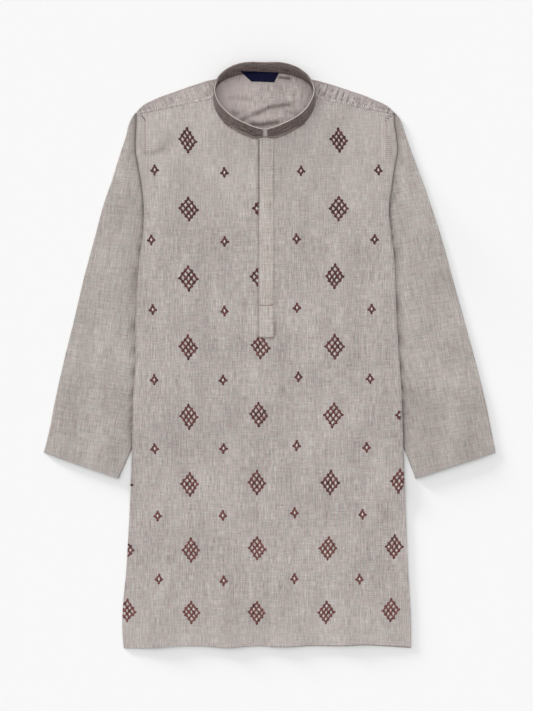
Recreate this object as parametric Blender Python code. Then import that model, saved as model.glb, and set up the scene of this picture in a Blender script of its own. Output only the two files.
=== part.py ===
"""A child's kurta tunic laid flat on a table, front side up.

Every piece is a closed wall of cloth with the shape it has in the finished garment. Sizes are in
millimetres until a mesh is made. x runs to the right seen from above, z runs up, and "down" is
measured over the table from the collar's top edge towards the hem, so y = COLLAR_TOP_Y - down.
Left and right are as seen from above, looking at the front of the garment.
"""

import bmesh
import bpy
import numpy as np
from mathutils import Vector
from mathutils.geometry import delaunay_2d_cdt

MM = 0.001
COLLAR_TOP_Y = 390.0        # y of the collar's top edge, with the origin in the middle of the length

WALL = 1.0                  # cloth
BAND_WALL = 2.0             # two plies and their stiffening
SEAM_GAP = 0.3              # between neighbouring pieces
FOLD_RADIUS = WALL + SEAM_GAP / 2
FLAT_TUBE = 2 * FOLD_RADIUS  # height of two layers folded flat

MESH_STEP = 20.0            # spacing of the points inside the panels
LINE_CLEARANCE = 0.45 * MESH_STEP   # inner points keep this far from edges and lines
EDGE_STEPS = 42             # stretches along a side edge below the armhole
ACROSS_STEPS = 17           # stretches along the back yoke seam
FOLD_STEPS = 4              # flats round a folded edge
SLEEVE_STEPS = 8            # stretches across each layer of a sleeve
TINY = 1e-9


def table(columns, rows):
    """A table as a dictionary of named columns."""
    return {name: np.array(values, float) for name, values in zip(columns.split(), zip(*rows))}


# Edges of the body below the shoulder tip: armhole seam first, then the side of the body.
BODY_EDGE = table("down left right", [
    (67.0, -177.0, 165.5),
    (99.0, -179.0, 168.1),
    (120.0, -179.0, 169.4),
    (141.5, -175.0, 165.5),
    (163.0, -171.0, 162.8),
    (195.0, -167.4, 158.8),
    (226.6, -168.4, 161.5),
    (258.6, -173.0, 165.5),
    (333.0, -178.4, 168.8),
    (407.5, -179.0, 173.4),
    (450.0, -182.3, 176.1),
    (490.0, -184.3, 177.4),
    (556.5, -184.3, 178.1),
    (663.0, -189.7, 182.7),
    (780.0, -194.0, 187.4),
])
ARMHOLE_STATIONS = np.linspace(67.0, 192.0, 12)
SIDE_STATIONS = np.linspace(ARMHOLE_STATIONS[-1], 780.0, EDGE_STEPS + 1)
YOKE_STATION = 5            # the back yoke seam meets the armhole here
BACK_YOKE_DOWN = ARMHOLE_STATIONS[YOKE_STATION]

# Fold of the yoke over each shoulder, from the neck to the shoulder tip.
SHOULDER = table("down left right", [
    (22.0, -60.6, 47.0),
    (24.5, -79.3, 60.4),
    (29.8, -96.6, 80.3),
    (35.1, -112.5, 96.3),
    (40.4, -127.1, 112.3),
    (45.8, -143.1, 128.2),
    (51.1, -155.1, 140.2),
    (56.4, -165.7, 152.2),
    (61.7, -172.4, 160.1),
    (67.0, -177.0, 165.5),
])
FRONT_YOKE_AT_NECK = 49.0   # down, where each front yoke seam leaves the collar
FRONT_YOKE_AT_ARM = 70.4    # and where it reaches the armhole
SLEEVE_TIP_DOWN = 70.0      # the sleeves begin here, beside the shoulder tips
SLEEVE_SEWN_TO = 190.0      # and are sewn to the body down to here

# The hem of the front, which ripples a little.
HEM = table("x down", [
    (-194.0, 780.0), (-160.0, 780.0), (-115.0, 777.0), (-85.0, 777.5), (-55.0, 779.5),
    (-30.0, 777.5), (-15.0, 776.7), (5.0, 778.0), (30.0, 778.0), (50.0, 776.5),
    (100.0, 776.5), (125.0, 775.3), (160.0, 776.7), (187.4, 778.5),
])

# Outer fold of each sleeve, from the shoulder tip to the cuff.
SLEEVE_OUTER = table("down left right", [
    (67.0, -177.0, 165.5),
    (72.4, -181.7, 170.8),
    (83.0, -187.0, 176.1),
    (99.0, -191.0, 181.4),
    (125.6, -199.9, 190.7),
    (157.5, -209.6, 202.7),
    (184.0, -218.9, 212.0),
    (237.3, -233.5, 229.3),
    (290.5, -247.8, 243.9),
    (343.7, -260.1, 258.6),
    (396.9, -273.4, 273.2),
    (450.0, -285.2, 286.5),
    (503.2, -296.1, 297.2),
    (519.8, -300.5, 300.5),
])
# Inner edge of each sleeve, which runs under the body until it comes out above the cuff.
SLEEVE_INNER = table("down left right", [
    (192.0, -167.7, 159.2),
    (221.3, -143.1, 135.5),
    (266.5, -123.2, 116.2),
    (322.4, -119.2, 113.6),
    (396.9, -137.8, 132.9),
    (466.0, -161.7, 156.1),
    (519.0, -184.3, 178.7),
    (554.5, -201.0, 192.5),
])
# Sections below the armhole: where each starts on the outer fold and ends on the inner edge.
SLEEVE_SECTION = table("outer inner", [
    (192.0, 192.0), (198.0, 196.0), (210.0, 207.0), (230.0, 225.0), (252.0, 250.0), (278.0, 282.0),
    (308.0, 318.0), (342.0, 358.0), (380.0, 402.0), (420.0, 446.0), (458.0, 488.0),
    (492.0, 525.0), (519.8, 554.5),
])

# The neck ring seen from above: where the band is sewn on, and its top edge, pushed up the table.
NECK_SEAM = {"x": -6.8, "down": 47.1, "across": 67.2, "front": 55.0, "back": 33.0,
             "front_power": 2.05, "back_power": 2.8}
NECK_TOP = {"x": -6.8, "down": 35.5, "across": 66.6, "front": 53.8, "back": 34.5,
            "front_power": 1.65, "back_power": 2.4}
BAND_RISE = 24.0            # height of the leaning band over its seam
BAND_CORNER = 5.0           # radius of its front corners
BAND_FROM, BAND_TO = 93.4, 447.2   # degrees round the ring, from one front end to the other
BAND_END_STEPS = (0.0, 0.5, 1.2, 2.2, 3.6)   # degrees, close together over a corner
BAND_ROWS = 5
NECK_POINT_ANGLE = 25.0     # the shoulder folds end this far behind the sides of the ring
BACK_BLEND_ANGLE = 9.0      # the band comes down to the back over this angle

PLACKET = {"left": -14.8, "right": 5.6, "end": 366.8}
SLIT = {"x": -10.0, "half": 0.4, "end": 330.0}

LABEL = table("x down", [(-38.5, 16.6), (11.8, 17.6), (5.8, 28.2), (-24.0, 26.9)])

# Air between the layers of the body and of a sleeve, and how far in from an edge it is reached.
BODY_LOFT = {"rise": 1.3, "edge": 34.0}
SLEEVE_LOFT = {"rise": 2.0, "edge": 26.0, "clear_of_body": 2.0}
# The front rises to the collar: its height there, its reach from the collar and in from an edge.
NECK_RISE = {"rise": 6.0, "reach": 62.0, "edge": 12.0, "from_side": 70.0}
# The body climbs over the sleeves: full height up to "full" from the sleeve, then down over "ramp".
TUCK = {"rise": FLAT_TUBE + 0.6, "full": 13.0, "ramp": 40.0}
# The sleeve rises with the body along their seam: how far from it, at its end and per length up it.
LIP = {"reach": 4.0, "spread": 0.6}

# Largest folds: a straight run from one point to another, its height (below 0 a trough) and width.
BODY_FOLD = table("x down to_x to_down height width", [
    (-158.0, 112.0, -128.0, 122.0, -0.9, 9.0),
    (-128.0, 122.0, -110.0, 98.0, -0.6, 10.0),
    (0.0, 443.0, 56.0, 456.0, -0.7, 12.0),
    (-6.0, 612.0, 28.0, 640.0, -0.8, 11.0),
    (20.0, 300.0, 80.0, 285.0, -0.6, 13.0),
    (-172.0, 470.0, -140.0, 640.0, 0.8, 16.0),
    (150.0, 430.0, 160.0, 640.0, 0.8, 16.0),
    (-55.0, 640.0, -52.0, 790.0, 1.3, 17.0),
    (18.0, 650.0, 18.0, 790.0, 1.2, 16.0),
    (-135.0, 690.0, -140.0, 790.0, 1.2, 18.0),
    (95.0, 560.0, 112.0, 790.0, 1.2, 22.0),
])
SLEEVE_FOLD = table("side x down to_x to_down height width", [
    (-1, -252.0, 336.0, -190.0, 384.0, -0.9, 12.0),
    (-1, -232.0, 300.0, -192.0, 330.0, -0.6, 12.0),
    (-1, -205.0, 190.0, -200.0, 300.0, 0.7, 14.0),
    (1, 250.0, 336.0, 184.0, 384.0, -0.9, 12.0),
    (1, 228.0, 300.0, 186.0, 332.0, -0.6, 12.0),
    (1, 200.0, 190.0, 204.0, 300.0, 0.7, 14.0),
])

FINISH = {                  # base colour, roughness
    "back_panel": ((0.415, 0.375, 0.356), 0.9),
    "front_panel": ((0.434, 0.392, 0.371), 0.9),
    "yoke": ((0.434, 0.397, 0.383), 0.9),
    "sleeve_left": ((0.424, 0.383, 0.361), 0.9),
    "sleeve_right": ((0.424, 0.383, 0.361), 0.9),
    "collar_band": ((0.105, 0.083, 0.076), 0.85),
    "front_placket": ((0.479, 0.429, 0.407), 0.9),
    "neck_label": ((0.020, 0.026, 0.074), 0.6),
}


# ---- plane geometry -----------------------------------------------------------------------------

def smooth(t):
    """0 below 0, 1 above 1, and level at both ends."""
    t = np.clip(t, 0.0, 1.0)
    return t * t * (3.0 - 2.0 * t)


def along(rows, key, value, at):
    """The column value as a smooth function of the column key (cubic Hermite)."""
    k, v = rows[key], rows[value]
    slope = np.gradient(v, k)
    at = np.asarray(at, float)
    i = np.clip(np.searchsorted(k, at) - 1, 0, len(k) - 2)
    h = k[i + 1] - k[i]
    t = (at - k[i]) / h
    return ((1 + 2 * t) * (1 - t) ** 2 * v[i] + t * (1 - t) ** 2 * h * slope[i]
            + t * t * (3 - 2 * t) * v[i + 1] - t * t * (1 - t) * h * slope[i + 1])


def pairs(x, down):
    return np.column_stack(np.broadcast_arrays(x, down))


def smooth_line(points, count):
    """Points evenly spread on a smooth curve through the given ones."""
    chord = np.append(0.0, np.cumsum(np.linalg.norm(np.diff(points, axis=0), axis=1)))
    rows = {"run": chord, "x": points[:, 0], "down": points[:, 1]}
    run = np.linspace(0.0, chord[-1], count)
    return pairs(along(rows, "run", "x", run), along(rows, "run", "down", run))


def distance_to(points, line):
    """Distance of each point to an open line of points."""
    start, step = line[:-1], np.diff(line, axis=0)
    away = points[:, None, :] - start[None]
    t = (away * step).sum(2) / np.maximum((step * step).sum(1), TINY)
    nearest = away - np.clip(t, 0, 1)[..., None] * step
    return np.sqrt((nearest ** 2).sum(2)).min(1)


def inside(points, loop):
    """Which points lie inside a closed loop (a ray to the right crosses it an odd number of times)."""
    a, b = loop, np.roll(loop, -1, axis=0)
    level = points[:, None, 1]
    spans = (a[:, 1] > level) != (b[:, 1] > level)
    rise = np.where(np.abs(b[:, 1] - a[:, 1]) < TINY, TINY, b[:, 1] - a[:, 1])
    cross = a[:, 0] + (level - a[:, 1]) / rise * (b[:, 0] - a[:, 0])
    return (spans & (points[:, None, 0] < cross)).sum(1) % 2 == 1


def body_edge(side, down):
    return pairs(along(BODY_EDGE, "down", side, down), down)


def sleeve_inner(side, down):
    return pairs(along(SLEEVE_INNER, "down", side, down), down)


def shoulder_line(side):
    return smooth_line(pairs(SHOULDER[side], SHOULDER["down"]), 20)


def ring(shape, degrees):
    """Point of a superellipse at an angle about its centre; 90 degrees is the front."""
    angle = np.radians(degrees)
    c, s = np.cos(angle), np.sin(angle)
    front = s > 0
    depth = np.where(front, shape["front"], shape["back"])
    power = np.where(front, shape["front_power"], shape["back_power"])
    r = (np.abs(c / shape["across"]) ** power + np.abs(s / depth) ** power) ** (-1 / power)
    return pairs(shape["x"] + r * c, shape["down"] + r * s)


def ring_angle(down):
    """Angle, right of the middle, at which the neck seam passes a level."""
    angles = np.linspace(-80.0, 80.0, 321)
    return float(np.interp(down, ring(NECK_SEAM, angles)[:, 1], angles))


# ---- heights ------------------------------------------------------------------------------------

def folds(points, rows):
    """Sum of soft straight folds, each a bell across its run that dies out past its ends."""
    total = np.zeros(len(points))
    for i in range(len(rows["x"])):
        run = np.array([(rows["x"][i], rows["down"][i]), (rows["to_x"][i], rows["to_down"][i])])
        total += rows["height"][i] * np.exp(-(distance_to(points, run) / rows["width"][i]) ** 2)
    return total


def lift(points):
    """Height of the body's underside, which climbs over the part of each sleeve under it."""
    rise = np.zeros(len(points))
    downs = np.linspace(SLEEVE_INNER["down"][0], SLEEVE_INNER["down"][-1], EDGE_STEPS)
    for side, far in (("left", -COLLAR_TOP_Y), ("right", COLLAR_TOP_Y)):
        edge = sleeve_inner(side, downs)
        region = np.vstack([edge, [(far, downs[-1]), (far, downs[0])]])
        away = np.where(inside(points, region), 0.0, distance_to(points, edge))
        rise = np.maximum(rise, TUCK["rise"] * smooth(1 - (away - TUCK["full"]) / TUCK["ramp"]))
    return rise


def body_loft(points):
    """Air under the front: none at the edges, most round the front of the neck."""
    downs = np.concatenate([ARMHOLE_STATIONS, SIDE_STATIONS[1:]])
    outlines = [np.vstack([shoulder_line(side), body_edge(side, downs)]) for side in ("left", "right")]
    away = np.minimum(*(distance_to(points, outline) for outline in outlines))
    away = np.maximum(away - FOLD_RADIUS, 0.0)
    air = smooth(away / BODY_LOFT["edge"]) * (BODY_LOFT["rise"] + folds(points, BODY_FOLD))
    round_neck = ring(NECK_SEAM, np.linspace(-NECK_POINT_ANGLE, 180 + NECK_POINT_ANGLE, 60))
    near_neck = smooth(1 - distance_to(points, round_neck) / NECK_RISE["reach"])
    in_front = smooth((points[:, 1] - SHOULDER["down"][0]) / NECK_RISE["from_side"])
    return air + NECK_RISE["rise"] * near_neck * in_front * smooth(away / NECK_RISE["edge"])


def back_top(points):
    return lift(points) + WALL


def front_under(points):
    return back_top(points) + SEAM_GAP + body_loft(points)


def front_top(points):
    return front_under(points) + WALL


def sleeve_top(points, side):
    """Top of a sleeve: two flat layers, with air between them where nothing lies on it."""
    outer = pairs(SLEEVE_OUTER[side], SLEEVE_OUTER["down"])
    from_outer = smooth(distance_to(points, outer) / SLEEVE_LOFT["edge"])
    edge = body_edge(side, np.concatenate([ARMHOLE_STATIONS, SIDE_STATIONS]))
    sign = -1 if side == "left" else 1
    edge_x = np.interp(points[:, 1], edge[:, 1], edge[:, 0])
    out = sign * (points[:, 0] - edge_x)
    from_body = smooth((out - SLEEVE_LOFT["clear_of_body"]) / SLEEVE_LOFT["edge"])
    rows = {name: values[SLEEVE_FOLD["side"] == sign] for name, values in SLEEVE_FOLD.items()}
    return FLAT_TUBE + from_outer * from_body * (SLEEVE_LOFT["rise"] + folds(points, rows))


# ---- skins and walls ----------------------------------------------------------------------------

def lattice(loop, lines):
    """Triangular lattice points inside a loop and clear of every line. All panels share one lattice."""
    low, high = loop.min(0), loop.max(0)
    row_step = MESH_STEP * np.sqrt(3) / 2
    rows = np.arange(np.floor(low[1] / row_step), np.ceil(high[1] / row_step) + 1)
    columns = np.arange(np.floor(low[0] / MESH_STEP) - 1, np.ceil(high[0] / MESH_STEP) + 2)
    grid_row, grid_column = np.meshgrid(rows, columns, indexing="ij")
    shifted = (grid_column + grid_row % 2 / 2) * MESH_STEP
    points = pairs(shifted.ravel(), (grid_row * row_step).ravel())
    points = points[inside(points, loop)]
    for line in lines + [np.vstack([loop, loop[:1]])]:
        points = points[distance_to(points, line) > LINE_CLEARANCE]
    return points


def fill(loop, lines=()):
    """Triangles over the inside of a loop that keep the loop and the given lines as edges."""
    lines = list(lines)
    points = np.vstack([loop] + lines + [lattice(loop, lines)])
    edges = [(i, (i + 1) % len(loop)) for i in range(len(loop))]
    first = len(loop)
    for line in lines:
        edges += [(first + i, first + i + 1) for i in range(len(line) - 1)]
        first += len(line)
    result = delaunay_2d_cdt([Vector(p) for p in points.tolist()], edges, [], 0, 1e-6)
    points = points[[sources[0] for sources in result[3]]]
    faces = np.array([tuple(f) for f in result[2]])
    return points, faces[inside(points[faces].mean(1), loop)]


def place(points, heights):
    """World position, in millimetres, of points on the table at given heights."""
    heights = np.broadcast_to(heights, len(points))
    return np.column_stack([points[:, 0], COLLAR_TOP_Y - points[:, 1], heights])


def weld(parts):
    """Join parts, each (outer skin, inner skin, faces), where both of their skins meet."""
    skins = np.vstack([np.hstack([outer, inner]) for outer, inner, _ in parts])
    keys, first, to_new = np.unique(np.round(skins, 4), axis=0, return_index=True, return_inverse=True)
    to_new = np.asarray(to_new).ravel()
    faces, start = [], 0
    for outer, _, part_faces in parts:
        faces += [tuple(to_new[start + np.asarray(face)].tolist()) for face in part_faces]
        start += len(outer)
    skins = skins[first]
    return skins[:, :3], skins[:, 3:], faces


def closed_wall(name, parts):
    """One closed body between two skins that share their faces, rimmed along their open edges."""
    outer, inner, faces = weld(parts)
    count = len(outer)
    sides = {(face[i - 1], face[i]) for face in faces for i in range(len(face))}
    rims = [(b, a, a + count, b + count) for a, b in sorted(sides) if (b, a) not in sides]
    inner_faces = [tuple(i + count for i in reversed(face)) for face in faces]
    mesh = bpy.data.meshes.new(name)
    mesh.from_pydata((np.vstack([outer, inner]) * MM).tolist(), [], faces + inner_faces + rims)
    work = bmesh.new()
    work.from_mesh(mesh)
    bmesh.ops.recalc_face_normals(work, faces=work.faces)
    work.to_mesh(mesh)
    work.free()
    mesh.shade_smooth()
    mesh.set_sharp_from_angle(angle=np.radians(40))
    piece = bpy.data.objects.new(name, mesh)
    bpy.context.scene.collection.objects.link(piece)
    piece.data.materials.append(cloth_material(name))
    return piece


def grid_faces(rows, columns, first=0):
    """Quads of a grid whose points are numbered along its columns."""
    i, j = np.meshgrid(np.arange(rows - 1), np.arange(columns - 1), indexing="ij")
    a = first + (i * columns + j).ravel()
    return np.column_stack([a, a + 1, a + columns + 1, a + columns]).tolist()


def cloth_material(name):
    colour, roughness = FINISH[name]
    material = bpy.data.materials.new(name)
    material.use_nodes = True
    shader = material.node_tree.nodes["Principled BSDF"]
    shader.inputs["Base Color"].default_value = (*colour, 1.0)
    shader.inputs["Roughness"].default_value = roughness
    shader.inputs["Metallic"].default_value = 0.0
    return material


# ---- the pieces ---------------------------------------------------------------------------------

def sleeve_guides():
    """Lines on the body over the inner edges of the sleeves: where the rise ends, and where it starts."""
    downs = np.linspace(SLEEVE_INNER["down"][1], SLEEVE_INNER["down"][-3], 20)
    guides = []
    for side, inward in (("left", 1.0), ("right", -1.0)):
        edge = sleeve_inner(side, downs)
        step = np.gradient(edge, axis=0)
        normal = np.column_stack([step[:, 1], -step[:, 0]]) * inward
        normal /= np.linalg.norm(normal, axis=1)[:, None]
        for away in (TUCK["full"], TUCK["full"] + TUCK["ramp"] / 2, TUCK["full"] + TUCK["ramp"]):
            line = edge + normal * away
            guides.append(line)
    return guides


def hem_line():
    x = np.concatenate([[BODY_EDGE["left"][-1]], np.linspace(-180, 175, 26), [BODY_EDGE["right"][-1]]])
    return pairs(x, along(HEM, "x", "down", x))


def side_lines(first_down, after):
    """Edges of the body from a given level to just above the hem, going down left and up right."""
    downs = np.concatenate([ARMHOLE_STATIONS, SIDE_STATIONS[1:-1]])
    downs = np.concatenate([[first_down], downs[downs > after]])
    return body_edge("left", downs), body_edge("right", downs)[::-1]


def make_back():
    top = BACK_YOKE_DOWN + SEAM_GAP / 2
    left, right = side_lines(top, BACK_YOKE_DOWN + 1.0)
    across = pairs(np.linspace(right[-1, 0], left[0, 0], ACROSS_STEPS + 1)[1:-1], top)
    points, faces = fill(np.vstack([left, hem_line(), right, across]), sleeve_guides())
    closed_wall("back_panel", [(place(points, back_top(points)), place(points, lift(points)), faces)])


def yoke_seam(side, away):
    """A front yoke seam from the neck to the armhole, moved down by away."""
    angle = ring_angle(FRONT_YOKE_AT_NECK + away)
    start = ring(NECK_SEAM, np.array([180 - angle if side == "left" else angle]))[0]
    end = body_edge(side, [FRONT_YOKE_AT_ARM + away])[0]
    t = np.linspace(0, 1, 9)[:, None]
    return start + (end - start) * t


def placket_line(x):
    """Stations down the front at one x, from below the collar to the placket's end."""
    start = placket_start(x)
    downs = np.linspace(start, PLACKET["end"], 24)
    return pairs(x, downs)


def placket_start(x):
    """Level of the band's outer face at one x, plus the seam gap."""
    angles = np.linspace(60.0, 120.0, 121)
    line = ring(NECK_SEAM, angles)
    edge = np.interp(-x, -line[:, 0], line[:, 1])
    return float(edge + BAND_WALL / 2 + SEAM_GAP)


def make_front():
    away = SEAM_GAP / 2
    left, right = side_lines(FRONT_YOKE_AT_ARM + away, ARMHOLE_STATIONS[0] + 6.0)
    seam_right, seam_left = yoke_seam("right", away)[::-1], yoke_seam("left", away)
    start = ring_angle(FRONT_YOKE_AT_NECK + away)
    neck = ring(NECK_SEAM, np.linspace(start, 180 - start, 44))[1:-1]
    slit = []
    for x, order in ((SLIT["x"] + SLIT["half"], 1), (SLIT["x"] - SLIT["half"], -1)):
        line = placket_line(x)
        line = line[line[:, 1] < SLIT["end"]]
        top = np.interp(-x, -neck[:, 0], neck[:, 1])
        slit.append(np.vstack([[(x, top)], line])[::order])
    clear = MESH_STEP / 8
    neck_right = neck[neck[:, 0] > SLIT["x"] + SLIT["half"] + clear]
    neck_left = neck[neck[:, 0] < SLIT["x"] - SLIT["half"] - clear]
    loop = np.vstack([left, hem_line(), right, seam_right[1:], neck_right, slit[0], slit[1],
                      neck_left, seam_left[:-1]])
    lines = sleeve_guides() + [placket_line(PLACKET["left"])[1:], placket_line(PLACKET["right"])[1:]]
    points, faces = fill(loop, lines)
    top, under = place(points, front_top(points)), place(points, front_under(points))
    closed_wall("front_panel", [(top, under, faces)])


def make_placket():
    x = np.array([PLACKET["left"], SLIT["x"], (SLIT["x"] + PLACKET["right"]) / 2, PLACKET["right"]])
    columns = [placket_line(value) for value in x]
    points = np.stack(columns, axis=1).reshape(-1, 2)
    under = front_top(points) + SEAM_GAP
    faces = grid_faces(len(columns[0]), len(x))
    closed_wall("front_placket", [(place(points, under + WALL), place(points, under), faces)])


def shoulder_fold(side):
    """Points just inside a shoulder fold, and the plan direction out of it at each of them."""
    line = shoulder_line(side)
    step = np.gradient(line, axis=0)
    out = np.column_stack([step[:, 1], -step[:, 0]])
    out /= np.linalg.norm(out, axis=1)[:, None]
    out *= np.where(out[:, 1] > 0, -1.0, 1.0)[:, None]
    return line - out * FOLD_RADIUS, out


def fold_strip(line, out):
    """Half-round fold from the lower layer (first) to the upper one (last)."""
    skins = []
    for radius in (FOLD_RADIUS, SEAM_GAP / 2):
        rings = []
        for turn in np.linspace(0, np.pi, FOLD_STEPS + 1):
            rings.append(place(line + out * radius * np.sin(turn), FOLD_RADIUS - radius * np.cos(turn)))
        skins.append(np.stack(rings, axis=1).reshape(-1, 3))
    return skins[0], skins[1], grid_faces(len(line), FOLD_STEPS + 1)


def make_yoke():
    end = BACK_YOKE_DOWN - SEAM_GAP / 2
    stations = ARMHOLE_STATIONS[1:YOKE_STATION]
    fold_left, out_left = shoulder_fold("left")
    fold_right, out_right = shoulder_fold("right")
    arm_left = body_edge("left", np.append(stations, end))
    arm_right = body_edge("right", np.append(stations, end))
    across = pairs(np.linspace(arm_left[-1, 0], arm_right[-1, 0], ACROSS_STEPS + 1)[1:-1], end)
    neck = ring(NECK_SEAM, np.linspace(-NECK_POINT_ANGLE, -180 + NECK_POINT_ANGLE, 30))[1:-1]
    loop = np.vstack([fold_left, arm_left, across, arm_right[::-1], fold_right[::-1], neck])
    points, faces = fill(loop)
    # the lower layer's outer skin is its underside, so its faces turn over
    parts = [(place(points, 0.0), place(points, WALL), faces[:, ::-1])]
    for side, fold, out in (("left", fold_left, out_left), ("right", fold_right, out_right)):
        outer, inner, strip = fold_strip(fold, out)
        parts.append((outer, inner, strip if side == "left" else [face[::-1] for face in strip]))
        seam = yoke_seam(side, -SEAM_GAP / 2)
        angles = np.linspace(-NECK_POINT_ANGLE, ring_angle(FRONT_YOKE_AT_NECK - SEAM_GAP / 2), 7)[1:-1]
        neck_side = ring(NECK_SEAM, 180 - angles if side == "left" else angles)
        points, faces = fill(np.vstack([fold, seam[::-1], neck_side[::-1]]))
        rise = body_loft(points)
        parts.append((place(points, FLAT_TUBE + rise), place(points, FLAT_TUBE - WALL + rise), faces))
    closed_wall("yoke", parts)


def make_sleeve(side):
    sign = -1.0 if side == "left" else 1.0
    open_rows = np.concatenate([[SLEEVE_TIP_DOWN], ARMHOLE_STATIONS[1:-1], [SLEEVE_SEWN_TO]])
    outer_downs = np.concatenate([open_rows, SLEEVE_SECTION["outer"]])
    outer_line = pairs(along(SLEEVE_OUTER, "down", side, outer_downs), outer_downs)
    arm = body_edge(side, open_rows) + (sign * SEAM_GAP, 0.0)
    inner_line = np.vstack([arm, sleeve_inner(side, SLEEVE_SECTION["inner"])])
    closed_from = len(open_rows)
    rows = len(outer_line)
    run = inner_line - outer_line
    length = np.linalg.norm(run, axis=1)
    run /= length[:, None]
    end = length - FOLD_RADIUS * (np.arange(rows) >= closed_from)
    lip = np.append(lift(body_edge(side, open_rows)), np.zeros(rows - closed_from))
    lip_reach = LIP["reach"] + LIP["spread"] * np.maximum(SLEEVE_SEWN_TO - outer_downs, 0.0)
    skins = []
    for radius, low in ((FOLD_RADIUS, 0.0), (SEAM_GAP / 2, WALL)):
        columns = []
        for t in np.linspace(1, 0, SLEEVE_STEPS + 1):   # lower layer, from the inner edge outwards
            points = outer_line + run * (FOLD_RADIUS + t * (end - FOLD_RADIUS))[:, None]
            rise = lip * smooth(1 - (1 - t) * (end - FOLD_RADIUS) / lip_reach)
            columns.append(place(points, rise + low))
        for turn in np.linspace(0, np.pi, FOLD_STEPS + 1)[1:-1]:   # round the outer fold
            ring_points = outer_line + run * (FOLD_RADIUS - radius * np.sin(turn))
            columns.append(place(ring_points, FOLD_RADIUS - radius * np.cos(turn)))
        for t in np.linspace(0, 1, SLEEVE_STEPS + 1):   # upper layer, back to the inner edge
            points = outer_line + run * (FOLD_RADIUS + t * (end - FOLD_RADIUS))[:, None]
            rise = lip * smooth(1 - (1 - t) * (end - FOLD_RADIUS) / lip_reach)
            columns.append(place(points, rise + sleeve_top(points, side) - low))
        for turn in np.linspace(np.pi, 2 * np.pi, FOLD_STEPS + 1)[1:-1]:   # round the inner edge
            ring_points = outer_line + run * (end - radius * np.sin(turn))[:, None]
            columns.append(place(ring_points, FOLD_RADIUS - radius * np.cos(turn)))
        skins.append(np.stack(columns, axis=1))
    width = skins[0].shape[1]
    layers = 2 * (SLEEVE_STEPS + 1) + FOLD_STEPS - 1     # columns before the inner edge's fold
    faces = []
    for i in range(rows - 1):
        for j in range(width if i >= closed_from else layers - 1):
            a, b = i * width + j, i * width + (j + 1) % width
            faces.append((a, b, b + width, a + width))
    used = sorted({i for face in faces for i in face})
    renumber = {old: new for new, old in enumerate(used)}
    faces = [tuple(renumber[i] for i in face) for face in faces]
    outer, inner = (skin.reshape(-1, 3)[used] for skin in skins)
    closed_wall(f"sleeve_{side}", [(outer, inner, faces)])


def band_seam_height(degrees, points):
    """Height of the band's lower edge: on the front and the shoulders, and down on the back yoke."""
    behind = np.maximum(np.abs((degrees - 90.0 + 180.0) % 360.0 - 180.0) - 90.0 - NECK_POINT_ANGLE, 0.0)
    on_front = front_top(points) + SEAM_GAP
    on_back = WALL + SEAM_GAP
    return on_back + (on_front - on_back) * smooth(1 - behind / BACK_BLEND_ANGLE)


def make_collar():
    near = np.array(BAND_END_STEPS)
    between = np.linspace(BAND_FROM + 2 * near[-1], BAND_TO - 2 * near[-1], 66)
    degrees = np.concatenate([BAND_FROM + near, between, BAND_TO - near[::-1]])
    seam, top = ring(NECK_SEAM, degrees), ring(NECK_TOP, degrees)
    run = np.append(0.0, np.cumsum(np.linalg.norm(np.diff(seam, axis=0), axis=1)))
    from_end = np.clip(np.minimum(run, run[-1] - run), 0.0, BAND_CORNER)
    corner = BAND_CORNER - np.sqrt(BAND_CORNER ** 2 - (BAND_CORNER - from_end) ** 2)
    reach = 1.0 - corner / BAND_RISE
    low = band_seam_height(degrees, seam)
    rows_up = np.linspace(0.0, 1.0, BAND_ROWS)
    skins = []
    for half in (BAND_WALL / 2, -BAND_WALL / 2):
        rings = []
        for up in rows_up:
            t = (up * reach)[:, None]
            line = seam * (1 - t) + top * t
            step = np.gradient(line, axis=0)
            out = np.column_stack([-step[:, 1], step[:, 0]])
            out /= np.linalg.norm(out, axis=1)[:, None]
            out *= np.sign((out * (line - (NECK_SEAM["x"], NECK_SEAM["down"]))).sum(1))[:, None]
            rings.append(place(line + out * half, low + t[:, 0] * BAND_RISE))
        skins.append(np.stack(rings, axis=1).reshape(-1, 3))
    closed_wall("collar_band", [(skins[0], skins[1], grid_faces(len(degrees), len(rows_up)))])


def make_label():
    corners = pairs(LABEL["x"], LABEL["down"])
    closing = np.vstack([corners, corners[:1]])
    t = np.arange(0, 4, 0.25)
    loop = np.column_stack([np.interp(t, range(5), closing[:, k]) for k in (0, 1)])
    points, faces = fill(loop)
    under = WALL + SEAM_GAP
    closed_wall("neck_label", [(place(points, under + WALL), place(points, under), faces)])


def main():
    for piece in list(bpy.data.objects):
        bpy.data.objects.remove(piece)
    make_back()
    make_front()
    make_yoke()
    make_sleeve("left")
    make_sleeve("right")
    make_collar()
    make_placket()
    make_label()


main()
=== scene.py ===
import math

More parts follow.
